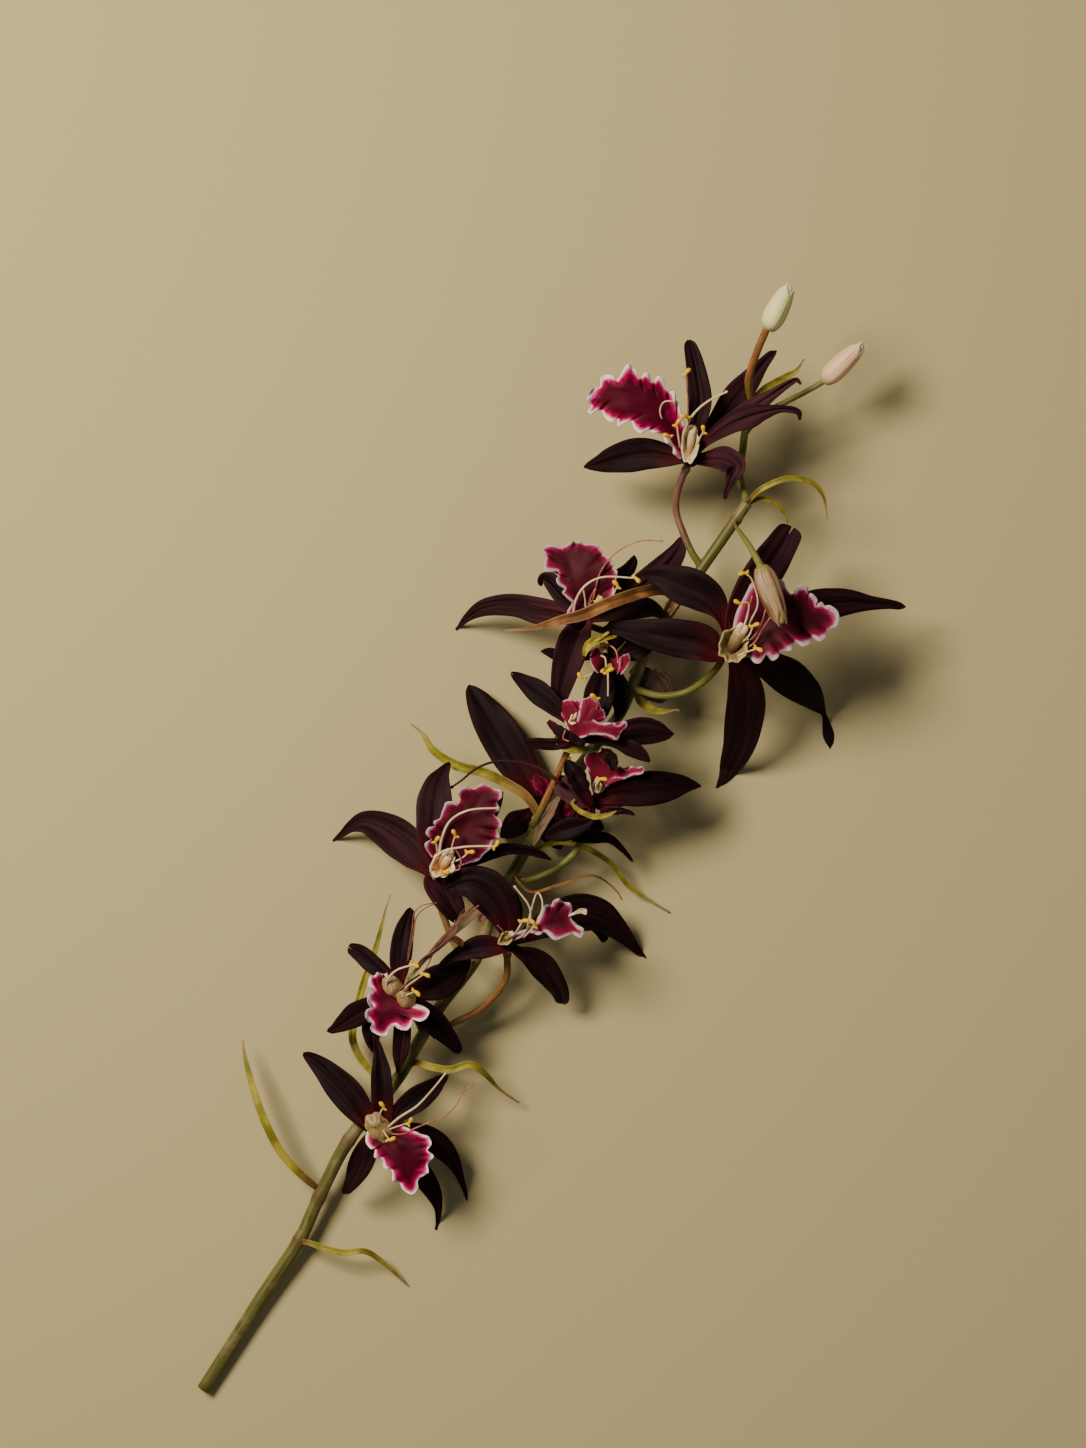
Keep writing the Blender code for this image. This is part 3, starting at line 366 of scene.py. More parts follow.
            Petal(31, 3, 0.2, 0.1, 0, [(590, 820, 8), (572, 828, 22), (556, 833, 17), (545, 838, 4)]),
        ],
        Lip(80, 16, 39, 21, 0, 1, 0.35, 0.9, 0.2, [
            [(594, 793), (591, 782), (588, 770), (584, 759), (588, 753), (593, 751), (599, 752), (603, 760),
             (611, 763), (615, 768), (620, 766), (627, 770), (632, 766), (638, 768), (643, 766), (643, 773),
             (633, 774), (625, 778), (613, 778), (606, 786), (600, 793)],
        ]),
        Column(90, 1.8, "hood_tan", False, [(597, 786, 2.6, 2.0)]),
        2.4,
    ),
    Bloom(
        "bloom_11", (-2, -32, 13), "olive",
        [(-1, -41, 26), (-2, -38, 20), (-2, -34, 16), (-2, -32, 13)],
        [
            Petal(5, 2, 0.15, 0.1, 0, [(538, 800, 12), (523, 772, 34), (508, 748, 42), (492, 722, 38),
                                       (479, 702, 26), (472, 691, 14), (469, 685, 5)]),
            Hidden(-139, 20, 4, 10, 2),
            Hidden(-64, 20, 4, 10, 2),
            Hidden(-20, 28, 4, 12, 2),
        ],
        None,
        None,
    ),
]

BUDS = [
    Bud("bud_01", (86, 151, 57), (94.5, 168, 60), 4.4, None),
    Bud(
        "bud_02", (109.5, 133.5, 33), (124.5, 148, 38), 4.1,
        [(79, 114, 29), (87, 122, 27.5), (95, 126, 29), (104, 130.5, 32), (110, 134, 33.2)],
    ),
    Bud(
        "bud_03", (82.5, 60, 72), (90.5, 37.5, 74), 4.4,
        [(75, 79.5, 36), (74.5, 77, 44), (76, 73, 56), (79, 67, 67), (82.7, 59.4, 72)], 0.9, 0.05,
    ),
]

BRACTS = [
    Bract("bract_01", 3.4, [(-90, -184, 9.5), (-96, -178, 14), (-103.5, -169, 16.5), (-110, -156, 18),
                            (-114, -145, 17), (-118, -132, 13), (-119.5, -125.5, 10)], foot=0.16),
    Bract("bract_02", 2.4, [(-98, -206, 7.5), (-93, -205.8, 11), (-87, -207.5, 13), (-79, -209.5, 13),
                            (-71, -209, 12), (-65, -213, 8), (-58, -220, 4), (-54.5, -224, 2)], foot=0.16),
    Bract("bract_03", 2.8, [(-55, -135, 16), (-50, -133.5, 19), (-44, -135, 21), (-36.5, -136, 22),
                            (-28.5, -134, 22), (-22.5, -138.5, 18), (-17.5, -144.5, 12), (-9.5, -151, 6)],
          foot=0.2),
    Bract("bract_04", 3.0, [(-58, -141.5, 15), (-62.5, -143, 14), (-69, -136.5, 13), (-74, -129.5, 12.5),
                            (-75.5, -121, 12), (-71.5, -104, 14), (-66.5, -89.5, 16), (-63, -76.5, 17),
                            (-60.5, -67.5, 15)]),
    Bract("bract_05", 4.0, [(0, -38.5, 26), (-6, -29, 27.5), (-13, -24, 27.5), (-23, -19, 28),
                            (-34, -16, 28.5), (-42.5, -10.5, 30), (-47, -4, 29), (-52, 0, 26)], foot=0.34),
    Bract("bract_06", 4.6, [(53, 49, 34), (47, 52, 38.5), (39, 51, 48), (27, 47, 55), (15.5, 42, 57),
                            (7.5, 40, 56), (-4, 37, 50), (-15, 36, 43)], "bract_dry"),
    Bract("bract_07", 2.2, [(-8, -52, 24.5), (-2, -49, 22), (6.5, -46.5, 19), (16, -48.5, 16),
                            (26.5, -55, 12), (34, -64.5, 7), (42, -70, 3), (50, -75, 1.5)]),
    Bract("bract_08", 3.2, [(36, 14, 31), (38.5, 8.5, 28), (44.5, 5, 27), (53.5, 5.5, 25)]),
    Bract("bract_09", 3.0, [(80, 120, 33), (82.5, 126, 37), (86, 130, 37.5), (92.5, 134, 37),
                            (98.5, 137.5, 37), (101.5, 142, 37)]),
    Bract("tendril_01", 2.2, [(79.5, 86, 37), (84.5, 91, 40), (94, 95, 42), (103.5, 94, 40),
                              (109, 89, 36), (111.5, 80, 30)]),
    Bract("tendril_02", 2.0, [(78, 84, 36.5), (83, 87.5, 36), (89, 87, 34.5), (94, 83, 32), (96, 77, 29)]),
    Bract("tendril_03", 0.9, [(-12, -57, 24.5), (-9.5, -62, 30), (-4, -65.5, 34), (6.2, -62.8, 36),
                              (18.7, -58.9, 35), (27.3, -63.6, 31), (30.8, -69, 27)], "bract_dry"),
]


# Thin blades beside the petals: scraps of sheath, green cups under the blooms, claws. low and high are the
# heights of the two ends above the table, and the path is as in the petals.
Blade = namedtuple("Blade", "skin low high rise cup path")
BLADES = {
    "stem": [
        Blade("bract_dry", 34, 36, 0.5, 0.5, [(664, 618, 6), (671, 606, 11), (677, 597, 11), (682, 589, 5)]),
        Blade("sheath", 31, 31, 0.4, 0.5, [(563, 790, 4), (555, 801, 8), (548, 815, 9), (540, 830, 7),
                                           (533, 846, 3)]),
        Blade("bract", 36, 38, 1.5, 0.5, [(574, 806, 2), (580, 811, 4), (588, 815, 5), (597, 817, 5),
                                          (607, 815, 4), (617, 811, 1)]),
        Blade("bract", 37, 38, 0, 0.3, [(583, 813, 5), (577, 809, 4), (572, 803, 3), (575, 799, 1)]),
        Blade("bract", 44, 45, 1, 0.5, [(557, 735, 6), (562, 744, 9), (573, 749, 9), (585, 749, 6),
                                        (593, 747, 2)]),
        Blade("bract", 41, 39, 0, 0.3, [(570, 757, 3), (567, 765, 5), (563, 772, 3)]),
    ],
    "bloom_02": [
        Blade("sheath", 45, 41, 2, 0.3, [(408, 980, 3), (421, 964, 4), (436, 948, 6), (452, 932, 9),
                                         (468, 917, 11), (483, 903, 8)]),
        Blade("dried", 47, 43, 2.5, 0.1, [(432, 955, 2), (450, 939, 5), (460, 942, 7), (462, 947, 3)]),
        Blade("dried", 44, 43, 0, 0.1, [(479, 922, 4), (482, 916, 7), (486, 909, 4)]),
    ],
    "bloom_03": [
        Blade("cream", 47, 46, 0.5, 0.2, [(567, 916, 2), (575, 913, 2.5), (581, 911, 5), (587, 912, 6)]),
    ],
    "bloom_05": [
        Blade("petal", 50, 52, 1, 0.3, [(548, 721, 5), (559, 731, 11), (571, 739, 12), (585, 745, 7)]),
    ],
    "bloom_06": [
        Blade("claw", 46, 46, 1.5, 0.4, [(584, 656, 3), (588, 646, 8), (597, 640, 8), (607, 638, 5),
                                         (617, 636, 2)]),
        Blade("claw", 47, 49, 0, 0.3, [(590, 642, 4), (599, 638, 4), (609, 632, 2)]),
        Blade("withered", 28, 25, 1, 0.2, [(632, 668, 10), (644, 677, 22), (654, 685, 33), (662, 692, 27),
                                           (668, 699, 14)]),
        Blade("claw", 46, 47, 0, 0.3, [(603, 674, 2), (607, 670, 7), (611, 664, 3)]),
    ],
    "bloom_10": [
        Blade("petal", 41, 43, 2, 0.4, [(592, 806, 6), (584, 794, 14), (577, 778, 20), (570, 767, 14),
                                        (567, 760, 5)]),
        Blade("petal", 37, 37, 0, 0.3, [(600, 812, 8), (618, 811, 7), (628, 812, 5), (635, 815, 2)]),
        Blade("petal", 42, 44, 1, 0.4, [(600, 752, 8), (609, 757, 14), (613, 764, 10), (612, 771, 4)]),
    ],
    "bloom_11": [
        Blade("lip", 24, 23, 3, -0.3, [(546, 794, 6), (543, 787, 14), (538, 780, 13), (536, 774, 5)]),
        Blade("lip", 27, 26, 2, -0.3, [(580, 800, 8), (572, 804, 20), (566, 810, 16), (561, 816, 6)]),
    ],
}


# Filaments by the photograph's pixels, from the root. lift is how far the tip is above the heart.
Strand = namedtuple("Strand", "skin radius lift anther path")
CREAM, ROSE, DRIED = "cream", "rose", "dried"
STRANDS = {
    "bloom_01": [
        Strand(CREAM, 0.42, 14, False, [(388, 1127), (400, 1117), (417, 1106), (432, 1090), (445, 1074)]),
        Strand(ROSE, 0.3, 12, False, [(411, 1130), (430, 1122), (444, 1117), (456, 1105), (464, 1091),
                                      (473, 1085)]),
        Strand(CREAM, 0.4, 13, True, [(380, 1124), (380, 1114), (383, 1108)]),
        Strand(CREAM, 0.36, 13, True, [(390, 1129), (399, 1126), (408, 1123)]),
        Strand(CREAM, 0.36, 12, True, [(383, 1130), (386, 1135), (389, 1139)]),
        Strand(ROSE, 0.3, 11, False, [(392, 1134), (402, 1134), (411, 1131)]),
    ],
    "bloom_02": [
        Strand(CREAM, 0.45, 12, True, [(386, 989), (388, 979), (397, 970), (412, 965)]),
        Strand(CREAM, 0.36, 11, True, [(402, 991), (411, 983), (423, 975)]),
        Strand(CREAM, 0.36, 10, True, [(404, 997), (409, 994), (414, 992)]),
        Strand(DRIED, 0.34, 13, False, [(391, 996), (404, 986), (419, 966), (438, 942), (457, 923),
                                        (478, 906)]),
        Strand(DRIED, 0.3, 15, False, [(393, 993), (409, 981), (421, 960), (441, 945), (462, 918),
                                       (470, 911)]),
        Strand(DRIED, 0.3, 11, False, [(394, 998), (406, 990), (425, 970), (436, 948), (452, 931),
                                       (455, 921)]),
        Strand(DRIED, 0.26, 12, False, [(395, 995), (412, 977), (430, 953), (447, 938), (460, 915),
                                        (467, 906)]),
        Strand(DRIED, 0.3, 6, False, [(408, 960), (413, 936), (416, 918), (424, 909), (436, 903)]),
        Strand(DRIED, 0.26, 6, False, [(408, 955), (412, 930), (414, 914), (421, 906), (433, 903)]),
    ],
    "bloom_03": [
        Strand(CREAM, 0.42, 14, False, [(524, 934), (530, 922), (529, 906), (515, 887)]),
        Strand(CREAM, 0.36, 15, False, [(527, 930), (531, 911), (537, 893), (542, 900), (542, 912),
                                        (539, 922)]),
        Strand(CREAM, 0.38, 12, True, [(514, 936), (518, 929), (522, 922)]),
        Strand(CREAM, 0.38, 12, True, [(524, 937), (530, 931), (534, 926)]),
        Strand(ROSE, 0.34, 11, False, [(508, 938), (503, 931), (498, 926)]),
    ],
    "bloom_04": [
        Strand(CREAM, 0.46, 15, False, [(439, 858), (442, 838), (451, 820), (470, 810), (498, 808)]),
        Strand(CREAM, 0.5, 14, True, [(434, 878), (431, 868), (440, 853), (463, 847), (494, 846)]),
        Strand(CREAM, 0.4, 13, True, [(438, 859), (437, 849), (436, 842)]),
        Strand(CREAM, 0.4, 13, True, [(450, 855), (453, 843), (455, 836)]),
        Strand(CREAM, 0.36, 12, True, [(454, 862), (462, 858), (468, 853)]),
        Strand(ROSE, 0.36, 12, False, [(446, 866), (458, 870), (461, 860), (456, 850)]),
        Strand(CREAM, 0.4, 10, True, [(433, 872), (438, 876), (443, 873)]),
    ],
    "bloom_05": [
        Strand(ROSE, 0.36, 12, True, [(590, 719), (597, 708), (596, 699)]),
        Strand(ROSE, 0.3, 10, False, [(566, 729), (563, 738), (568, 741)]),
    ],
    "bloom_06": [
        Strand(CREAM, 0.42, 13, True, [(606, 712), (608, 696), (608, 673)]),
        Strand(ROSE, 0.4, 10, False, [(601, 646), (609, 645), (616, 651), (618, 662)]),
        Strand(CREAM, 0.36, 9, True, [(599, 655), (605, 658), (606, 667)]),
        Strand(CREAM, 0.3, 7, True, [(604, 668), (594, 673), (584, 677)]),
        Strand(ROSE, 0.26, 8, False, [(596, 676), (599, 686), (604, 691), (596, 697)]),
    ],
    "bloom_07": [
        Strand(CREAM, 0.4, 15, True, [(737, 642), (745, 624), (749, 604), (741, 603)]),
        Strand(CREAM, 0.38, 16, True, [(741, 641), (750, 622), (758, 603), (752, 580), (746, 574)]),
        Strand(ROSE, 0.36, 14, False, [(744, 646), (756, 634), (762, 622), (766, 608)]),
        Strand(ROSE, 0.36, 14, False, [(744, 650), (755, 642), (763, 628), (770, 618)]),
        Strand(CREAM, 0.4, 13, True, [(735, 657), (747, 652), (756, 649)]),
        Strand(CREAM, 0.4, 14, True, [(738, 645), (748, 637), (753, 627)]),
        Strand(ROSE, 0.34, 13, False, [(745, 626), (748, 611), (752, 597)]),
    ],
    "bloom_08": [
        Strand(CREAM, 0.5, 15, False, [(682, 449), (684, 432), (693, 415), (707, 402), (726, 392)]),
        Strand(CREAM, 0.36, 14, False, [(673, 439), (664, 424), (660, 411), (664, 402), (674, 401)]),
        Strand(ROSE, 0.34, 14, True, [(688, 430), (688, 403), (687, 388), (686, 375)]),
        Strand(CREAM, 0.42, 12, True, [(680, 447), (678, 434), (677, 425)]),
        Strand(CREAM, 0.36, 11, True, [(676, 449), (671, 442), (669, 437)]),
        Strand(CREAM, 0.38, 13, True, [(688, 436), (688, 424), (687, 418)]),
        Strand(CREAM, 0.38, 12, True, [(696, 447), (700, 438), (703, 432)]),
    ],
    "bloom_09": [
        Strand(CREAM, 0.45, 15, True, [(573, 617), (576, 600), (586, 585), (604, 577), (634, 578)]),
        Strand(ROSE, 0.3, 15, False, [(590, 610), (595, 592), (601, 571), (617, 552), (640, 541),
                                      (662, 541)]),
        Strand(CREAM, 0.36, 12, True, [(604, 605), (612, 597), (617, 587)]),
        Strand(CREAM, 0.36, 11, False, [(586, 612), (585, 599), (583, 588)]),
        Strand(ROSE, 0.45, 11, False, [(588, 609), (591, 597), (595, 590)]),
        Strand(CREAM, 0.4, 9, True, [(592, 612), (597, 606), (598, 602)]),
    ],
    "bloom_10": [
        Strand(CREAM, 0.36, 9, True, [(598, 792), (596, 785), (600, 780)]),
        Strand("petal", 0.55, 1, False, [(560, 783), (541, 769), (522, 763), (505, 761), (489, 763),
                                         (474, 770), (462, 780), (452, 787)]),
    ],
}


# Curves, as in the solids.

CURVE_STEPS = 10


def smooth(t):
    t = min(max(t, 0.0), 1.0)
    return t * t * (3 - 2 * t)


def compass(turn):
    angle = math.radians(turn)
    return Vector((math.cos(angle), math.sin(angle), 0))


def on_photo(px, py, z):
    """The point that the photograph shows at a pixel, if it lies z above the table."""
    scale = (1 - z * MM / CAMERA_HEIGHT) * METRES_PER_PX / MM
    return Vector(((px - PHOTO_MIDDLE[0]) * scale, (PHOTO_MIDDLE[1] - py) * scale, z))


def bezier(start, elbow, end, t):
    return start * (1 - t) ** 2 + elbow * (2 * t * (1 - t)) + end * t * t


def through(points, t):
    """A point on the smooth curve through the points, t from 0 to the number of the last one."""
    at = [Vector(p) for p in points]
    i = min(int(t), len(at) - 2)
    t -= i
    before = at[i - 1] if i else at[0] * 2 - at[1]
    after = at[i + 2] if i + 2 < len(at) else at[-1] * 2 - at[-2]
    a, b = at[i], at[i + 1]
    return (
        a * 2
        + (b - before) * t
        + (before * 2 - a * 5 + b * 4 - after) * t * t
        + (a * 3 - before - b * 3 + after) * t ** 3
    ) / 2


def evenly(points, count):
    """count + 1 even places on the smooth curve through the points."""
    last = (len(points) - 1) * CURVE_STEPS
    found = [through(points, i / CURVE_STEPS) for i in range(last + 1)]
    run = [0.0]
    for a, b in zip(found, found[1:]):
        run.append(run[-1] + (b - a).length)
    even = []
    j = 0
    for i in range(count + 1):
        want = run[-1] * i / count
        while j < last - 1 and run[j + 1] < want:
            j += 1
        even.append(found[j].lerp(found[j + 1], min(1, (want - run[j]) / max(run[j + 1] - run[j], 1e-9))))
    return even


def share_of(shape, t):
    """A profile given by even shares, read smoothly at t from 0 to 1."""
    return through([(s, 0, 0) for s in shape], t * (len(shape) - 1)).x


def blade_line(start, piece):
    tip = start + compass(piece.turn) * piece.reach
    tip.z = piece.tip_z
    elbow = (start + tip) / 2
    elbow += compass(piece.turn + 90) * 2 * piece.bend
    elbow.z += 2 * piece.rise
    return start, elbow, tip


def turned(left, normal, angle):
    """Both directions, turned about the line that they cross."""
    return (
        left * math.cos(angle) + normal * math.sin(angle),
        normal * math.cos(angle) - left * math.sin(angle),
    )


def across_line(line, u):
    start, elbow, tip = line
    point = bezier(start, elbow, tip, u)
    ahead = ((elbow - start) * (1 - u) + (tip - elbow) * u).normalized()
    left = UP.cross(ahead).normalized()
    return point, left, ahead.cross(left)


# Meshes. Each point carries four marks for the materials: along, across, under and a free one.

# How much thinner than in its middle a blade is at its margin, and how close points are that become one.
MARGIN_THINNING = 0.65
MERGE_DISTANCE = 1e-6


class Piece:
    """Points, faces and marks of one piece, gathered before its mesh is made."""

    def __init__(self):
        self.points = []
        self.faces = []
        self.skins = []
        self.marks = []

    def add(self, points, faces, marks, skin):
        first = len(self.points)
        self.points += points
        self.marks += marks
        self.faces += [tuple(first + i for i in face) for face in faces]
        self.skins += [skin] * len(faces)

    def make(self, name, nodes, merge=False):
        mesh = bpy.data.meshes.new(name)
        mesh.from_pydata([(Vector(p) - ORIGIN) * MM for p in self.points], [], self.faces)
        used = [skin for skin in SKINS if skin in self.skins]
        mesh.polygons.foreach_set("material_index", [used.index(skin) for skin in self.skins])
        marks = mesh.attributes.new("mark", "FLOAT_COLOR", "POINT")
        marks.data.foreach_set("color", [value for mark in self.marks for value in mark])
        for skin in used:
            mesh.materials.append(SKINS[skin])
        work = bmesh.new()
        work.from_mesh(mesh)
        if merge:
            bmesh.ops.remove_doubles(work, verts=work.verts, dist=MERGE_DISTANCE)
            bmesh.ops.dissolve_degenerate(work, edges=work.edges, dist=MERGE_DISTANCE)
        bmesh.ops.recalc_face_normals(work, faces=work.faces)
        work.to_mesh(mesh)
        work.free()
        mesh.shade_smooth()
        obj = bpy.data.objects.new(name, mesh)
        bpy.context.scene.collection.objects.link(obj)
        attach(obj, "root")
        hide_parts(*nodes)
        return obj


def sheet(piece, grid, grid_marks, thickness, skin):
    """A closed blade under the grid's rows of points, thin at its margin and nowhere below the table."""
    rows, columns = len(grid) - 1, len(grid[0]) - 1
    upper, lower, top_marks, low_marks = [], [], [], []
    for r in range(rows + 1):
        for c in range(columns + 1):
            ahead = grid[min(r + 1, rows)][c] - grid[max(r - 1, 0)][c]
            left = grid[r][min(c + 1, columns)] - grid[r][max(c - 1, 0)]
            thick = thickness * (1 - MARGIN_THINNING * abs(2 * c / columns - 1) ** 3)
            above = grid[r][c].copy()
            # The rows of a cup meet in its middle.
            facing = ahead.cross(left).normalized() if ahead.length else -UP
            under = above - facing * thick
            if under.z < 0:
                under.z = 0
                above.z = max(above.z, thick * 0.5)
            along, across, free = grid_marks[r][c]
            upper.append(above)
            lower.append(under)
            top_marks.append((along, across, 0.0, free))
            low_marks.append((along, across, 1.0, free))
    half = len(upper)
    wide = columns + 1
    faces = []
    for r in range(rows):
        for c in range(columns):
            a = r * wide + c
            faces.append((a, a + wide, a + wide + 1, a + 1))
            faces.append((a + half, a + 1 + half, a + wide + 1 + half, a + wide + half))
    rim = [r * wide for r in range(rows)] + [rows * wide + c for c in range(columns)]
    rim += [r * wide + columns for r in range(rows, 0, -1)] + list(range(columns, 0, -1))
    for a, b in zip(rim, rim[1:] + rim[:1]):
        faces.append((a, b, b + half, a + half))
    piece.add(upper + lower, faces, top_marks + low_marks, skin)


def slab(piece, surface, rows, columns, thickness, skin, free=0.0):
    """A sheet of surface(u, v), u from 0 to 1 along it and v from -1 to 1 across it."""
    us = [r / rows for r in range(rows + 1)]
    vs = [2 * c / columns - 1 for c in range(columns + 1)]
    grid_marks = [[(u, v, free) for v in vs] for u in us]
    if skin.startswith("lip"):
        grid_marks = [[(1, 0.16 + 0.55 * (1 - v * v), u) for v in vs] for u in us]
    sheet(piece, [[surface(u, v) for v in vs] for u in us], grid_marks, thickness, skin)


def pipe(piece, points, radii, sides, skin, free=0.0, lumps=None):
    """A closed tube along the points. lumps(along, around) multiplies its radius."""
    ring, ring_marks = [], []
    side = (points[1] - points[0]).orthogonal().normalized()
    last = len(points) - 1
    for i, point in enumerate(points):
        ahead = (points[min(i + 1, last)] - points[max(i - 1, 0)]).normalized()
        side = (side - ahead * side.dot(ahead)).normalized()
        other = ahead.cross(side)
        for k in range(sides):
            angle = math.tau * k / sides
            radius = radii[i] * (lumps(i / last, k / sides) if lumps else 1)
            ring.append(point + (side * math.cos(angle) + other * math.sin(angle)) * radius)
            ring_marks.append((i / last, k / sides, 0.0, free))
    faces = []
    for i in range(last):
        for k in range(sides):
            a, b = i * sides + k, i * sides + (k + 1) % sides
            faces.append((a, b, b + sides, a + sides))
    count = len(ring)
    ring += [points[0], points[-1]]
    ring_marks += [ring_marks[0], ring_marks[-1]]
    for k in range(sides):
        faces.append(((k + 1) % sides, k, count))
        faces.append((count - sides + k, count - sides + (k + 1) % sides, count + 1))
    piece.add(ring, faces, ring_marks, skin)


def ball(piece, centre, ahead, length, radius, skin, free=0.0, rows=10, sides=12):
    """An egg shape along ahead."""
    points, radii = [], []
    for i in range(1, rows):
        angle = math.pi * i / rows
        points.append(centre - ahead * length / 2 * math.cos(angle))
        radii.append(radius * math.sin(angle))
    pipe(piece, points, radii, sides, skin, free)


# Materials.

# How deep the bumps of fine and of coarse skins are, in metres.
FINE_BUMP = 0.0003
COARSE_BUMP = 0.0005


def shader(name, roughness, **sockets):
    """A material, its node tree and its Principled shader, with uniform values set on the shader itself."""
    material = bpy.data.materials.new(name)
    material.use_nodes = True
    tree = material.node_tree
    principled = tree.nodes["Principled BSDF"]
    principled.inputs["Roughness"].default_value = roughness
    for socket, value in sockets.items():
        principled.inputs[socket.replace("_", " ")].default_value = value
    return material, tree, principled


def node(tree, kind, inputs=None, **settings):
    made = tree.nodes.new(kind)
    for key, value in settings.items():
        setattr(made, key, value)
    for key, value in (inputs or {}).items():
        if isinstance(value, bpy.types.NodeSocket):
            tree.links.new(value, made.inputs[key])
        else:
            made.inputs[key].default_value = value
    return made


def math_node(tree, operation, a, b=0.5, clamp=False):
    return node(tree, "ShaderNodeMath", {0: a, 1: b}, operation=operation, use_clamp=clamp).outputs[0]


def times(tree, a, b):
    return math_node(tree, "MULTIPLY", a, b)


def less(tree, value):
    """What is left of 1."""
    return math_node(tree, "SUBTRACT", 1.0, value)


def mix(tree, factor, a, b):
    """A colour between a and b."""
    made = node(tree, "ShaderNodeMix", data_type="RGBA")
    for key, value in ((0, factor), (6, a), (7, b)):
        if isinstance(value, bpy.types.NodeSocket):
            tree.links.new(value, made.inputs[key])
        else:
            made.inputs[key].default_value = value if key == 0 else (*value, 1)
    return made.outputs[2]


def ramp(tree, factor, low, high):
    """0 below low and 1 above high, smoothly."""
    made = node(tree, "ShaderNodeMapRange", {0: factor, 1: low, 2: high}, interpolation_type="SMOOTHSTEP")
    return made.outputs[0]


def marks(tree):
    """The four marks of a point: along, across, under and the free one."""
    found = node(tree, "ShaderNodeAttribute", attribute_name="mark")
    parts = node(tree, "ShaderNodeSeparateColor", {0: found.outputs["Color"]})
    return parts.outputs[0], parts.outputs[1], parts.outputs[2], found.outputs["Alpha"]


def vector(tree, x, y, z):
    return node(tree, "ShaderNodeCombineXYZ", {0: x, 1: y, 2: z}).outputs[0]


def grain(tree, where, scale, detail=3.0, roughness=0.6):
    inputs = {"Vector": where, "Scale": scale, "Detail": detail, "Roughness": roughness}
    return node(tree, "ShaderNodeTexNoise", inputs).outputs["Fac"]


def position(tree):
    return node(tree, "ShaderNodeNewGeometry").outputs["Position"]


def bump(tree, principled, height, distance, strength=1.0):
    made = node(tree, "ShaderNodeBump", {"Height": height, "Distance": distance, "Strength": strength})
    tree.links.new(made.outputs[0], principled.inputs["Normal"])


def colour_of(tree, principled, socket):
    tree.links.new(socket, principled.inputs["Base Color"])


def petal_material():
    """Satin, near-black burgundy with lengthwise veins, redder at the base and paler by its tone, with
    painted shade in the midrib crease and a painted highlight along the margin.
    """
    material, tree, principled = shader(
        "petal", 0.58, Sheen_Weight=0.02, Sheen_Roughness=0.5, Sheen_Tint=(0.8, 0.4, 0.45, 1),
        Specular_IOR_Level=0.06,
    )
    along, across, under, free = marks(tree)
    tone = math_node(tree, "FRACT", free, 0.0)
    streak_at = vector(tree, times(tree, across, 2.6), times(tree, along, 1.1), free)
    streaks = grain(tree, streak_at, 1.2, 2.0)
    veins_at = vector(tree, times(tree, across, 12.0), times(tree, along, 1.1), free)
    veins = grain(tree, veins_at, 1.0, 1.0)
    blotches = grain(tree, position(tree), 90.0, 4.0)
    colour = mix(tree, ramp(tree, streaks, 0.3, 0.75), (0.0026, 0.0007, 0.0008), (0.0086, 0.0023, 0.0030))
    colour = mix(tree, times(tree, tone, ramp(tree, streaks, 0.15, 0.7)), colour, (0.085, 0.026, 0.036))
    colour = mix(tree, times(tree, ramp(tree, veins, 0.5, 0.75), 0.4), colour, (0.0032, 0.0009, 0.0012))
    colour = mix(tree, times(tree, ramp(tree, blotches, 0.5, 0.72), 0.3), colour, (0.017, 0.004, 0.007))
    reddish = times(tree, less(tree, ramp(tree, along, 0.0, 0.42)), ramp(tree, streaks, 0.1, 0.6))
    colour = mix(tree, times(tree, reddish, 0.85), colour, (0.070, 0.0025, 0.0055))
    # Painted shade: the midrib crease is darkened as if shaded.
    rib = less(tree, ramp(tree, math_node(tree, "ABSOLUTE", across, 0.0), 0.01, 0.07))
    colour = mix(tree, times(tree, rib, 0.6), colour, (0.0022, 0.0008, 0.0010))
    # Painted highlight: the petal's margin is lightened as if lit along its edge.
    rim = ramp(tree, math_node(tree, "ABSOLUTE", across, 0.0), 0.94, 1.0)
    colour = mix(tree, times(tree, rim, 0.6), colour, (0.050, 0.018, 0.018))
    colour = mix(tree, times(tree, under, 0.75), colour, (0.045, 0.017, 0.021))
    colour_of(tree, principled, colour)
    height = math_node(tree, "ADD", times(tree, veins, 0.6), times(tree, blotches, 0.4))
    bump(tree, principled, height, FINE_BUMP, 0.18)
    return material


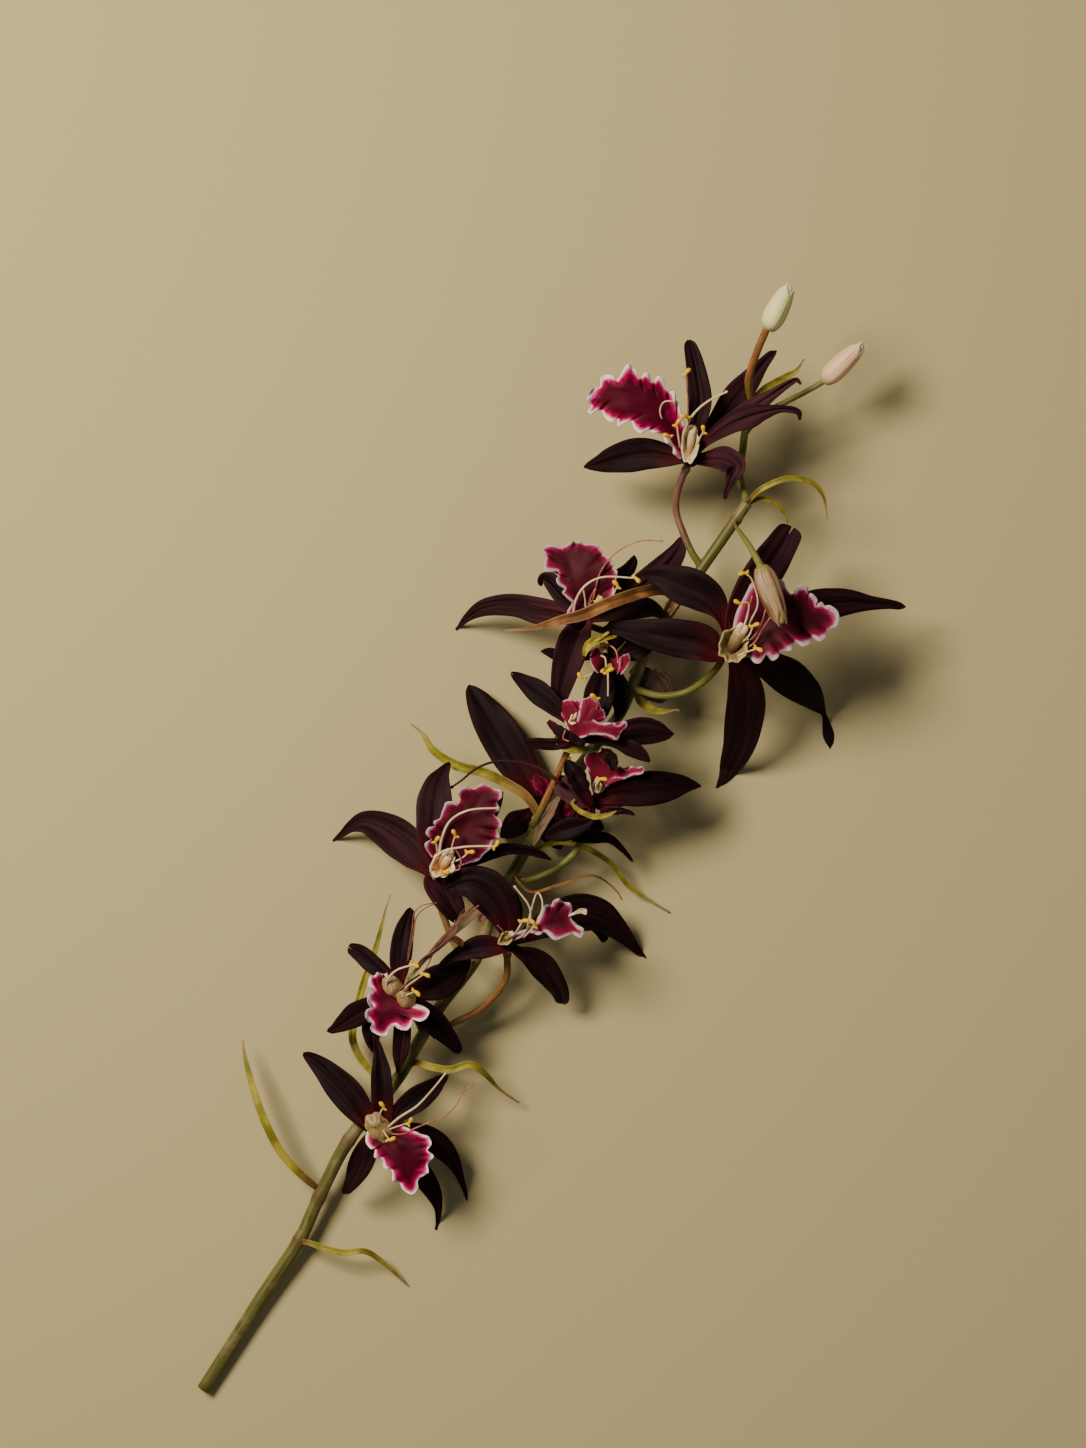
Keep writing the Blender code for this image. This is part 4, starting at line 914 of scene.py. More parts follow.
def lip_material(name, band, middle):
    """Dark burgundy in the middle, a magenta band, and a pink to white rim. Its second mark is a tenth of the
    distance from the edge in millimetres, and the free one counts along the edge."""
    material, tree, principled = shader(name, 0.55, Specular_IOR_Level=0.08)
    along, clear, under, edge_place = marks(tree)
    veins_at = vector(tree, times(tree, edge_place, 2.6), times(tree, clear, 0.8), 0.0)
    veins = grain(tree, veins_at, 1.0, 2.0)
    blotches = grain(tree, position(tree), 150.0, 3.0)
    uneven = times(tree, math_node(tree, "SUBTRACT", veins, 0.5), 0.5)
    inward = math_node(tree, "ADD", clear, uneven)
    colour = mix(tree, ramp(tree, inward, 0.16, 0.66), band, middle)
    lines = times(tree, ramp(tree, veins, 0.48, 0.66), ramp(tree, clear, 0.10, 0.30))
    colour = mix(tree, times(tree, lines, 0.4), colour, middle)
    colour = mix(tree, times(tree, ramp(tree, blotches, 0.5, 0.7), 0.25), colour, (0.095, 0.0020, 0.0130))
    base = times(tree, less(tree, ramp(tree, along, 0.05, 0.40)), ramp(tree, clear, 0.1, 0.45))
    colour = mix(tree, times(tree, base, 0.8), colour, middle)
    edge = math_node(tree, "ADD", clear, times(tree, math_node(tree, "SUBTRACT", blotches, 0.5), 0.04))
    colour = mix(tree, ramp(tree, edge, 0.25, 0.10), colour, (0.72, 0.075, 0.260))
    colour = mix(tree, ramp(tree, edge, 0.130, 0.055), colour, (0.95, 0.76, 0.75))
    colour = mix(tree, times(tree, under, 0.5), colour, (0.055, 0.0100, 0.0150))
    colour_of(tree, principled, colour)
    bump(tree, principled, blotches, FINE_BUMP, 0.4)
    return material


def tissue_material(name, light, dark, roughness, scale=300.0, freckles=None):
    """Waxy plant tissue of two colours that mingle, with a fine skin."""
    material, tree, principled = shader(name, roughness, Specular_IOR_Level=0.35)
    skin = grain(tree, position(tree), scale, 4.0)
    colour = mix(tree, ramp(tree, skin, 0.36, 0.66), dark, light)
    if freckles:
        spots = grain(tree, position(tree), scale * 3.2, 2.0)
        colour = mix(tree, times(tree, ramp(tree, spots, 0.58, 0.66), 0.8), colour, freckles)
    colour_of(tree, principled, colour)
    bump(tree, principled, skin, FINE_BUMP, 0.5)
    return material


def hood_material(name, rim_colour, wall, heart):
    """A column's hood: dark and veined deep inside, where the dark is partly the hood's own colour and partly
    painted shade in the hollow, and paler to its margin, where the first mark is 1.
    """
    material, tree, principled = shader(name, 0.4, Specular_IOR_Level=0.35)
    outward, around, under, free = marks(tree)
    lines_at = vector(tree, times(tree, around, 26.0), times(tree, outward, 1.5), free)
    lines = grain(tree, lines_at, 1.0, 2.0)
    skin = grain(tree, position(tree), 420.0, 3.0)
    # Toward the middle the colour goes to the heart colour: partly the hood's own colour and partly painted
    # shade deep in the cup.
    colour = mix(tree, ramp(tree, outward, 0.25, 0.8), heart, wall)
    colour = mix(tree, ramp(tree, outward, 0.80, 1.0), colour, rim_colour)
    colour = mix(tree, times(tree, ramp(tree, lines, 0.5, 0.66), 0.45), colour, heart)
    colour = mix(tree, times(tree, ramp(tree, skin, 0.52, 0.7), 0.3), colour, rim_colour)
    colour_of(tree, principled, colour)
    bump(tree, principled, math_node(tree, "ADD", lines, skin), FINE_BUMP, 0.6)
    return material


def stem_material(name, light, dark, wax_and_highlight, side, foot=None, foot_reach=0.34):
    """Waxy skin with fine lengthwise ridges and tan patches, which are partly waxy bloom and partly painted
    highlight. The free mark browns the joints. The third one is how far along a stalk a point is, and the
    foot's colour is where that is low."""
    material, tree, principled = shader(name, 0.5, Specular_IOR_Level=0.3)
    along, around, share, joint = marks(tree)
    place = position(tree)
    ridges_at = vector(tree, times(tree, around, 18.0), along, 0.0)
    ridges = grain(tree, ridges_at, 1.0, 3.0)
    mottle = grain(tree, place, 45.0, 4.0)
    speckle = grain(tree, place, 520.0, 3.0)
    colour = mix(tree, ramp(tree, ridges, 0.35, 0.68), dark, light)
    # The tan patches are partly waxy bloom and partly painted highlight on the stem.
    colour = mix(tree, times(tree, ramp(tree, mottle, 0.48, 0.62), side), colour, wax_and_highlight)
    if foot:
        colour = mix(tree, less(tree, ramp(tree, share, foot_reach - 0.26, foot_reach)), colour, foot)
    colour = mix(tree, times(tree, ramp(tree, speckle, 0.58, 0.7), 0.45), colour, (0.085, 0.045, 0.018))
    colour = mix(tree, times(tree, joint, 0.8), colour, (0.115, 0.050, 0.024))
    colour_of(tree, principled, colour)
    height = math_node(tree, "ADD", times(tree, ridges, 0.5), times(tree, speckle, 0.3))
    bump(tree, principled, height, FINE_BUMP, 0.45)
    return material


def bract_material(name, dry):
    """Blades that start brown, turn yellow-green with fine brown stripes, and dry to a pinkish tip."""
    material, tree, principled = shader(name, 0.5, Specular_IOR_Level=0.3)
    along, across, under, free = marks(tree)
    stripes_at = vector(tree, times(tree, across, 5.0), times(tree, along, 1.5), free)
    stripes = grain(tree, stripes_at, 1.4, 3.0)
    mottle = grain(tree, position(tree), 130.0, 4.0)
    green = mix(tree, ramp(tree, mottle, 0.35, 0.65), (0.185, 0.165, 0.011), (0.430, 0.360, 0.036))
    brown = mix(tree, ramp(tree, mottle, 0.35, 0.65), (0.150, 0.042, 0.012), (0.390, 0.150, 0.052))
    brown = mix(tree, times(tree, ramp(tree, stripes, 0.45, 0.55), 0.6), brown, (0.110, 0.022, 0.010))
    striped = math_node(tree, "ADD", dry, times(tree, ramp(tree, stripes, 0.52, 0.66), 0.45), clamp=True)
    colour = mix(tree, striped, green, brown)
    foot = math_node(tree, "FRACT", free, 0.0)
    start = less(tree, ramp(tree, along, times(tree, foot, 0.5), times(tree, foot, 1.4)))
    colour = mix(tree, times(tree, start, 0.8), colour, (0.200, 0.075, 0.028))
    colour = mix(tree, times(tree, ramp(tree, along, 0.80, 0.98), 0.85), colour, (0.420, 0.210, 0.130))
    rim = ramp(tree, math_node(tree, "ABSOLUTE", across, 0.0), 0.8, 1.0)
    colour = mix(tree, times(tree, rim, 0.45), colour, (0.420, 0.330, 0.130))
    colour_of(tree, principled, colour)
    bump(tree, principled, math_node(tree, "ADD", stripes, times(tree, mottle, 0.4)), COARSE_BUMP, 0.8)
    return material


def bud_material(name, pale, stripe, tip_colour, striping, fineness=6.0):
    """Papery bud skin with lengthwise veins. striping is how strongly the veins are coloured."""
    material, tree, principled = shader(name, 0.45, Specular_IOR_Level=0.35)
    along, across, under, free = marks(tree)
    lines_at = vector(tree, times(tree, across, fineness), times(tree, along, 1.1), free)
    lines = grain(tree, lines_at, 1.0, 3.0)
    skin = grain(tree, position(tree), 320.0, 3.0)
    colour = mix(tree, times(tree, ramp(tree, lines, 0.46, 0.62), striping), pale, stripe)
    colour = mix(tree, times(tree, ramp(tree, along, 0.66, 0.98), 0.7), colour, tip_colour)
    base = less(tree, ramp(tree, along, 0.0, 0.16))
    colour = mix(tree, times(tree, base, 0.6), colour, (0.25, 0.25, 0.05))
    colour_of(tree, principled, colour)
    bump(tree, principled, math_node(tree, "ADD", lines, times(tree, skin, 0.3)), COARSE_BUMP, 0.8)
    return material


GREEN_FOOT = (0.130, 0.135, 0.020)
SKINS = {
    "petal": petal_material(),
    "lip": lip_material("lip", (0.340, 0.0025, 0.060), (0.066, 0.0009, 0.0100)),
    "lip_bright": lip_material("lip_bright", (0.46, 0.016, 0.080), (0.215, 0.0060, 0.028)),
    "hood_tan": hood_material("hood_tan", (0.50, 0.37, 0.16), (0.30, 0.20, 0.075), (0.085, 0.040, 0.016)),
    "hood_cream": hood_material("hood_cream", (0.95, 0.78, 0.60), (0.80, 0.52, 0.20), (0.50, 0.20, 0.050)),
    "hood_pink": hood_material("hood_pink", (0.82, 0.66, 0.42), (0.60, 0.50, 0.22), (0.40, 0.24, 0.11)),
    "cream": tissue_material("filament", (0.80, 0.64, 0.40), (0.62, 0.42, 0.24), 0.36),
    "rose": tissue_material("filament_rose", (0.50, 0.19, 0.13), (0.30, 0.070, 0.060), 0.38),
    "dried": tissue_material("filament_dried", (0.26, 0.090, 0.055), (0.110, 0.026, 0.020), 0.5),
    "gold": tissue_material("anther", (0.90, 0.56, 0.006), (0.76, 0.38, 0.003), 0.55, 900.0),
    "stem": stem_material("stem", (0.160, 0.145, 0.026), (0.066, 0.064, 0.010), (0.30, 0.22, 0.10), 0.55),
    "green": stem_material("stalk_green", (0.175, 0.165, 0.022), (0.088, 0.088, 0.012), (0.30, 0.25, 0.08),
                           0.35),
    "olive": stem_material("stalk_olive", (0.120, 0.115, 0.022), (0.060, 0.058, 0.012), (0.20, 0.12, 0.055),
                           0.5),
    "tan": stem_material("stalk_tan", (0.26, 0.18, 0.070), (0.12, 0.075, 0.026), (0.33, 0.15, 0.065), 0.6,
                         GREEN_FOOT),
    "orange": stem_material("stalk_orange", (0.33, 0.14, 0.040), (0.16, 0.050, 0.014), (0.28, 0.20, 0.065),
                            0.45, GREEN_FOOT),
    "mauve": stem_material("stalk_mauve", (0.19, 0.070, 0.055), (0.085, 0.026, 0.024), (0.21, 0.11, 0.060),
                           0.5, GREEN_FOOT),
    "claw": tissue_material("claw", (0.42, 0.33, 0.020), (0.26, 0.18, 0.012), 0.5),
    "withered": bud_material("withered", (0.060, 0.032, 0.018), (0.018, 0.0070, 0.0055), (0.10, 0.050, 0.030),
                             0.9),
    "sheath": bud_material("sheath", (0.19, 0.120, 0.055), (0.110, 0.030, 0.017), (0.24, 0.15, 0.07), 0.95,
                           9.0),
    "branch": stem_material("stalk_branch", (0.33, 0.12, 0.035), (0.17, 0.050, 0.016), (0.26, 0.20, 0.06),
                            0.4, GREEN_FOOT, 0.78),
    "cut": tissue_material("cut_end", (0.34, 0.31, 0.11), (0.17, 0.14, 0.04), 0.7, 700.0),
    "bract": bract_material("bract", 0.0),
    "bract_dry": bract_material("bract_dry", 0.9),
    "bud_01": bud_material("bud_cream", (0.80, 0.74, 0.36), (0.64, 0.58, 0.18), (0.92, 0.86, 0.60), 0.55),
    "bud_02": bud_material("bud_pink", (0.86, 0.54, 0.34), (0.78, 0.30, 0.17), (0.92, 0.78, 0.54), 0.65),
    "bud_03": bud_material("bud_tan", (0.38, 0.24, 0.12), (0.120, 0.034, 0.018), (0.34, 0.26, 0.08), 1.0,
                           3.4),
}


# Petals.

PETAL_ROWS = 54
PETAL_COLUMNS = 20
PETAL_FULLNESS = 1.9
PETAL_TAPER = 0.8
PETAL_WAVE = 0.08
MOST_TWIST = 12
# A traced tip rounds off over this share of its length, and closes by this share.
TIP_ROUND = 0.06
TIP_CLOSED = 0.97
LEAST_WIDTH_PX = 0.6
# How ragged a petal's margin is and how far it rises and falls, how uneven the rest is, and how far its sides
# curl down.
MARGIN_RAGGED = 0.045
MARGIN_LIFT = 0.9
UNEVEN_LIFT = 0.35
SIDE_CURL = 0.07
MIDRIB_WIDTH = 0.09
FOLD_WIDTH = 0.2
BLADE_ROWS, BLADE_COLUMNS = 30, 10
BLADE_RAGGED = 0.22


def petal_width(u):
    """The share of a petal's full width that it has at u, as in the solids."""
    if u < PETAL_WIDEST:
        return PETAL_BASE + (1 - PETAL_BASE) * smooth(u / PETAL_WIDEST)
    tail = (u - PETAL_WIDEST) / (1 - PETAL_WIDEST)
    return PETAL_TIP + (1 - PETAL_TIP) * max(0.0, 1 - tail ** PETAL_FULLNESS) ** PETAL_TAPER


def traced(path, height):
    """Gives the middle, the left and normal directions and the half width at u of a blade that the photograph
    shows. height(u) is its height."""
    points, halves = [], []
    for i, spot in enumerate(evenly(path, PETAL_ROWS)):
        place = on_photo(spot.x, spot.y, height(i / PETAL_ROWS))
        beside = on_photo(spot.x + max(spot.z, LEAST_WIDTH_PX) / 2, spot.y, place.z)
        points.append(place)
        halves.append(beside.x - place.x)

    def at(u):
        i = min(int(u * PETAL_ROWS), PETAL_ROWS - 1)
        part = u * PETAL_ROWS - i
        ahead = (points[min(i + 2, PETAL_ROWS)] - points[max(i - 1, 0)]).normalized()
        left = UP.cross(ahead).normalized()
        half = halves[i] + (halves[i + 1] - halves[i]) * part
        half *= math.sqrt(1 - TIP_CLOSED * max(0.0, (u - 1 + TIP_ROUND) / TIP_ROUND) ** 2)
        return points[i].lerp(points[i + 1], part), left, ahead.cross(left), half

    return at


def rooted(heart, core, path):
    """The path, led back into the bloom's core where its start lies outside it."""
    if (on_photo(*path[0][:2], heart.z) - heart).length < core - 0.3:
        return path
    scale = on_photo(PHOTO_MIDDLE[0] + 1, 0, heart.z).x
    middle = (PHOTO_MIDDLE[0] + heart.x / scale, PHOTO_MIDDLE[1] - heart.y / scale, path[0][2])
    return [middle] + path


def petal_line(heart, core, petal):
    """Gives a petal's middle, left and normal directions and half width at u."""
    if isinstance(petal, Petal):
        arch = heart.z, (heart.z + petal.tip_z) / 2 + 2 * petal.rise, petal.tip_z
        return traced(rooted(heart, core, petal.path), lambda u: bezier(*arch, u))
    line = blade_line(heart, petal)
    first = ROOT_DEPTH / (2 * (line[1] - line[0]).length)

    def at(u):
        return *across_line(line, first + (1 - first) * u), petal.width / 2 * petal_width(u)

    return at


def petal_surface(heart, core, petal, dice):
    """The solid's petal, with a midrib, a long fold or two, a slight twist, and a lively margin."""
    at = petal_line(heart, core, petal)
    twist = math.radians(dice.uniform(-MOST_TWIST, MOST_TWIST))
    groove = dice.uniform(0.3, 0.5)
    folds = [(dice.uniform(0.3, 0.65) * side, dice.uniform(-0.3, 0.5)) for side in (-1, 1)]
    seeds = [dice.uniform(0, 50) for _ in range(4)]

    def surface(u, v):
        dent = petal.notch * math.exp(-((v / 0.4) ** 2)) * smooth((u - 0.6) / 0.4)
        point, left, normal, _ = at(u * (1 - dent))
        half = at(u)[3]
        left, normal = turned(left, normal, twist * u * u)
        side = seeds[0] if v > 0 else seeds[1]
        margin = smooth((abs(v) - 0.3) / 0.7) * smooth(u / 0.15)
        inner = smooth(u / 0.12) * (1 - smooth((u - 0.8) / 0.2))
        reach = half * (1 + MARGIN_RAGGED * margin * noise.noise((u * 5, side, 0)))
        lift = petal.cup * abs(v) ** 1.5 * reach
        lift += PETAL_WAVE * half * v * math.sin(math.tau * PETAL_WAVES * u)
        lift += MARGIN_LIFT * margin * noise.noise((u * 4.5, side, 3))
        lift -= groove * math.exp(-((v / MIDRIB_WIDTH) ** 2)) * inner
        for place, height in folds:
            away = v - place + 0.15 * noise.noise((u * 3, place, 9))
            lift += height * math.exp(-((away / FOLD_WIDTH) ** 2)) * inner
        lift += UNEVEN_LIFT * noise.noise((u * 4, v * 1.5, seeds[3]))
        lift -= SIDE_CURL * half * smooth((abs(v) - 0.78) / 0.22) * inner
        return point + left * v * reach + normal * lift

    return surface


def add_blades(piece, name):
    """The thin blades that go with a piece."""
    dice = random.Random(name + " blades")
    for blade in BLADES.get(name, []):
        rise, low, gain = blade.rise, blade.low, blade.high - blade.low
        at = traced(blade.path, lambda u: low + gain * u + rise * 4 * u * (1 - u))
        seed = dice.randrange(50) + 0.1

        def surface(u, v, at=at, cup=blade.cup, seed=seed):
            point, left, normal, half = at(u)
            half *= 1 + BLADE_RAGGED * abs(v) * noise.noise((u * 11, 2 * v, seed))
            lift = cup * abs(v) ** 1.5 * half + 0.4 * noise.noise((u * 6, v * 1.5, seed)) * min(half, 1.5)
            return point + left * v * half + normal * lift

        slab(piece, surface, BLADE_ROWS, BLADE_COLUMNS, SCRAP_THICKNESS, blade.skin, seed)


# Lips.

LIP_ROWS = 110
SIDE_STEPS = (0, 0.14, 0.28, 0.41, 0.53, 0.63, 0.72, 0.79, 0.85, 0.9, 0.935, 0.965, 0.985, 1.0)
SOFT_REACH = 7
# Lips shorter than this take the brighter, pinker lip colour.
BRIGHT_REACH = 17
# How deep a lip's groove is and how wide, and how much its lobes and its crinkles rise.
LIP_GROOVE, LIP_GROOVE_WIDTH = 0.6, 1.1
LOBE_RISE = 2.6
CRINKLE_RISE = 0.8


def soften(points, reach):
    """Each point as the mean of those within reach, which takes the lobes out of an edge."""
    last = len(points) - 1
    soft = []
    for i in range(last + 1):
        near = points[max(0, i - reach): min(last, i + reach) + 1]
        soft.append(sum(near, Vector()) / len(near))
    return soft


def lip_blade(piece, line, lip, edge, dice):
    """A ruffled blade with the edge's outline, as high as the solid's lip."""
    start, elbow, tip = line
    level = (start.z + tip.z) / 2
    rim = evenly([on_photo(x, y, level) for x, y in edge], 2 * LIP_ROWS)
    soft = soften(rim, SOFT_REACH)
    end = rim[LIP_ROWS]
    turning = sum((a.cross(b)).z for a, b in zip(rim, rim[1:]))
    outward = 1 if turning > 0 else -1
    lobes = []
    nearest = kdtree.KDTree(len(rim))
    for i, place in enumerate(rim):
        ahead = rim[min(i + 1, 2 * LIP_ROWS)] - rim[max(i - 1, 0)]
        outer = Vector((ahead.y, -ahead.x, 0)).normalized() * outward
        lobes.append(min(max((place - soft[i]).dot(outer), -1.2), 1.5))
        nearest.insert((place.x, place.y, 0), i)
    nearest.balance()
    axis = Vector((end.x - start.x, end.y - start.y, 0))
    side = UP.cross(axis).normalized()
    half = lip.width / 2
    seed = dice.uniform(0, 90)
    middle_x, middle_y = (start.x + end.x) / 2, (start.y + end.y) / 2
    bend = Vector((elbow.x - (start.x + tip.x) / 2, elbow.y - (start.y + tip.y) / 2, 0))
    knee = Vector((middle_x, middle_y, 0)) + bend * axis.length / lip.reach
    root, far = Vector((start.x, start.y, 0)), Vector((end.x, end.y, 0))

    def height(place):
        u = min(max((place - root).dot(axis) / axis.length_squared, 0), 1.2)
        v = (place - bezier(root, knee, far, u)).dot(side) / half
        z = bezier(start, elbow, tip, min(u, 1)).z + lip.arch * min(v * v, 1.6) * half
        z += noise.noise((place.x * 0.13, place.y * 0.13, seed)) * smooth(u / 0.2)
        groove = LIP_GROOVE * math.exp(-((v * half / LIP_GROOVE_WIDTH) ** 2))
        return z - groove * smooth(u / 0.15) * (1 - smooth((u - 0.7) / 0.3))

    grid, grid_marks = [], []
    for r in range(LIP_ROWS + 1):
        u = r / LIP_ROWS
        spine = bezier(root, knee, far, u)
        halves = []
        for way in (1, -1):
            i = r if way == 1 else 2 * LIP_ROWS - r
            mood = 0.6 + 1.3 * noise.noise((i * 0.045, seed, 0))
            crinkle = noise.noise((i * 0.16, seed, 4))
            edge_point = Vector((rim[i].x, rim[i].y, 0))
            row = []
            for rho in SIDE_STEPS:
                grown = smooth((rho - 0.35) / 0.65) ** 1.3 * smooth(u / 0.06)
                place = spine.lerp(edge_point, rho)
                waves = LOBE_RISE * lobes[i] * mood + CRINKLE_RISE * crinkle
                z = height(place) + grown * lip.ruffle * waves
                _, j, clear = nearest.find(place)
                clear /= lip.white * min(max(0.75 + 0.55 * lobes[j], 0.4), 1.7)
                row.append((Vector((place.x, place.y, z)), (u, clear / 10, r * 0.11)))
            halves.append(row)
        row = halves[0][::-1] + halves[1][1:]
        grid.append([point for point, _ in row])
        grid_marks.append([mark for _, mark in row])
    sheet(piece, grid, grid_marks, LIP_THICKNESS, "lip_bright" if lip.reach < BRIGHT_REACH else "lip")


def make_lip(bloom, dice):
    line = blade_line(Vector(bloom.heart) + UP * LIP_LIFT, bloom.lip)
    piece = Piece()
    for edge in bloom.lip.edges:
        lip_blade(piece, line, bloom.lip, edge, dice)
    piece.make(bloom.name + "_lip_fine", [bloom.name + "_lip"], merge=True)


# Columns, with their filaments.

CUP_SIDES = 72
CUP_STEPS = (0, 0.15, 0.3, 0.45, 0.58, 0.7, 0.8, 0.88, 0.94, 0.98, 1.0)
# How far below its bloom's heart a filament starts that doesn't spring from the column.
ROOT_DROP = 1.5
# How deep a cup is for its column's radius, how far its margin is scalloped and waved, and how it tilts.
CUP_DEPTH = 1.15
CUP_SCALLOP = 0.05
CUP_WAVE = 0.16
CUP_TILT = 0.22
# How far above the core the filaments start.
ROOT_RISE = 0.8
FILAMENT_SIDES = 8
HEAD_SHAPE = (0.35, 0.6, 0.75, 0.95, 1.05, 0.9, 0.3)
HEAD_STEPS = 9
HEAD_SIDES = 12
HEAD_LOBE = 2.2
CLUB_STEPS = 12
CLUB_SIDES = 16


def cup(piece, centre, column, half_length, half_width, depth, dice):
    """An open boat with a soft, scalloped margin, which the filaments spring from, or a soft cap."""
    ahead, side = compass(column.turn), compass(column.turn + 90)
    seed = dice.uniform(0, 60)
    lobes = max(4, round((half_length + half_width) * 0.7))
    grid, grid_marks = [], []
    for k in range(CUP_SIDES + 1):
        angle = math.tau * (k % CUP_SIDES) / CUP_SIDES
        around = Vector((math.cos(angle), math.sin(angle), seed))
        scallop = CUP_SCALLOP * math.cos(lobes * angle + seed) + CUP_WAVE * noise.noise(around * 1.9)
        row = []
        for rho in CUP_STEPS:
            grown = smooth((rho - 0.5) / 0.5)
            reach = rho * (1 + scallop * grown)
            along, aside = math.cos(angle) * half_length * reach, math.sin(angle) * half_width * reach
            place = centre + ahead * along + side * aside
            if column.capped:
                height = depth * (0.75 - 0.55 * rho ** 2)
                height += 1.3 * noise.noise((place.x * 0.3, place.y * 0.3, seed))
                height += 0.4 * noise.noise((place.x * 0.9, place.y * 0.9, seed))
            else:
                height = depth * rho ** 2.6 + 0.35 * grown * math.cos(lobes * angle + seed + 0.9)
            tilt = CUP_TILT * depth * rho * math.cos(angle + 2.6)
            row.append(place + UP * (height + tilt))
        grid.append(row)
        if column.capped:
            grid_marks.append([(0.6 + 0.3 * rho, 0.12 * k / CUP_SIDES, seed) for rho in CUP_STEPS])
        else:
            grid_marks.append([(rho, k / CUP_SIDES, seed) for rho in CUP_STEPS])
    sheet(piece, grid, grid_marks, CUP_THICKNESS, column.hood)


def club(piece, centre, ahead, length, radius, depth, skin):
    """The style in the middle of the cup, with its pale, two-lobed knob."""
    start = centre - ahead * length * 0.45 + UP * 0.5
    line = start, start + ahead * length * 0.5 + UP * depth * 0.6, start + ahead * length + UP * depth * 0.9
    points = [bezier(*line, i / CLUB_STEPS) for i in range(CLUB_STEPS + 1)]
    radii = [radius * (0.7 + 0.6 * smooth(i / 9)) for i in range(CLUB_STEPS + 1)]
    pipe(piece, points, radii, CLUB_SIDES, skin)
    slope = (points[-1] - points[-2]).normalized()
    for way in (-1, 1):
        aside = slope.cross(UP).normalized() * way * radius * 0.5
        ball(piece, points[-1] + aside + slope * radius * 0.5, slope, radius * 2.4, radius * 0.75, "cream")


def make_column(bloom, dice):
    column = bloom.column
    heart = Vector(bloom.heart)
    depth = column.radius * CUP_DEPTH
    piece = Piece()
    for px, py, half_length, half_width in column.cups:
        centre = on_photo(px, py, heart.z + CORE_RADIUS * 0.75)
        cup(piece, centre, column, half_length, half_width, depth, dice)
        if not column.capped:
            ahead = compass(column.turn)
            club(piece, centre, ahead, half_length * 1.4, half_width * 0.36, depth, column.hood)
    for strand in STRANDS[bloom.name]:
        add_strand(piece, heart, strand, dice)
    add_blades(piece, bloom.name)
    piece.make(bloom.name + "_column_fine", [bloom.name + "_column"], merge=True)


def add_strand(piece, heart, strand, dice):
    """A filament along its path, and its golden head where it has one: a knob with a smaller lobe beside it.
    One that doesn't start in the column grows out of the blade below it."""
    count = len(strand.path) - 1
    rows = 8 * count
    root = CORE_RADIUS + ROOT_RISE
    path = []
    for i, (px, py) in enumerate(strand.path):
        rise = root + (strand.lift - root) * math.sin(math.pi / 2 * i / count)
        path.append(on_photo(px, py, heart.z + rise))
    if (path[0] - heart - UP * root).length > CORE_RADIUS + 1:
        path.insert(0, on_photo(*strand.path[0], heart.z - ROOT_DROP))
    points = evenly(path, rows)
    radii = [strand.radius * (1.25 - 0.5 * i / rows) for i in range(rows + 1)]
    pipe(piece, points, radii, FILAMENT_SIDES, strand.skin, dice.uniform(0, 50))
    ahead = (points[-1] - points[-3]).normalized()
    if not strand.anther:
        ball(piece, points[-1], ahead, strand.radius * 3.2, strand.radius * 1.15, strand.skin)
        return
    side = ahead.cross(UP).normalized() * dice.choice((-1, 1))
    lean = (ahead * dice.uniform(0.3, 1.2) + side * 0.7).normalized()
    start = points[-1] - lean * ANTHER_LENGTH * 0.3
    bow, radii = [], []
    for i in range(HEAD_STEPS + 1):
        arch = ahead * 0.7 * math.sin(math.pi * i / HEAD_STEPS)
        bow.append(start + lean * ANTHER_LENGTH * i / HEAD_STEPS + arch)
        radii.append(ANTHER_RADIUS * share_of(HEAD_SHAPE, i / HEAD_STEPS))
    pipe(piece, bow, radii, HEAD_SIDES, "gold", dice.uniform(0, 50))
    ball(piece, points[-1] - side * 0.8, side, HEAD_LOBE, ANTHER_RADIUS * 0.6, "gold", dice.uniform(0, 50))


# Blooms.

def make_bloom(bloom):
    dice = random.Random(bloom.name)
    heart = Vector(bloom.heart)
    piece = Piece()
    ball(piece, heart, UP, bloom.core * 2, bloom.core, "petal")
    for petal in bloom.petals:
        free = dice.randrange(90) + petal.tone
        surface = petal_surface(heart, bloom.core, petal, dice)
        slab(piece, surface, PETAL_ROWS, PETAL_COLUMNS, PETAL_THICKNESS, "petal", free)
    if not bloom.column:
        add_blades(piece, bloom.name)
    piece.make(bloom.name + "_petals_fine", [bloom.name + "_petals"])
    if bloom.lip:
        make_lip(bloom, dice)
    if bloom.column:
        make_column(bloom, dice)


# Stem and stalks.

STEM_STEPS, STEM_SIDES = 12, 26
STALK_STEPS, STALK_SIDES = 14, 16
# How far from a joint or a foot its brown reaches, and after how many points the ridges' pattern repeats.
JOINT_STAIN, FOOT_STAIN = 0.09, 1.8
RIDGE_POINTS = 12


def stem_radius(place):
    radius = STEM_RADIUS_FOOT + (STEM_RADIUS_TOP - STEM_RADIUS_FOOT) * place / (len(STEM) - 1)
    for joint in STEM_JOINTS:
        radius += NODE_SWELL * math.exp(-(((place - joint) / NODE_LENGTH) ** 2))
    return radius * FINE_STEM


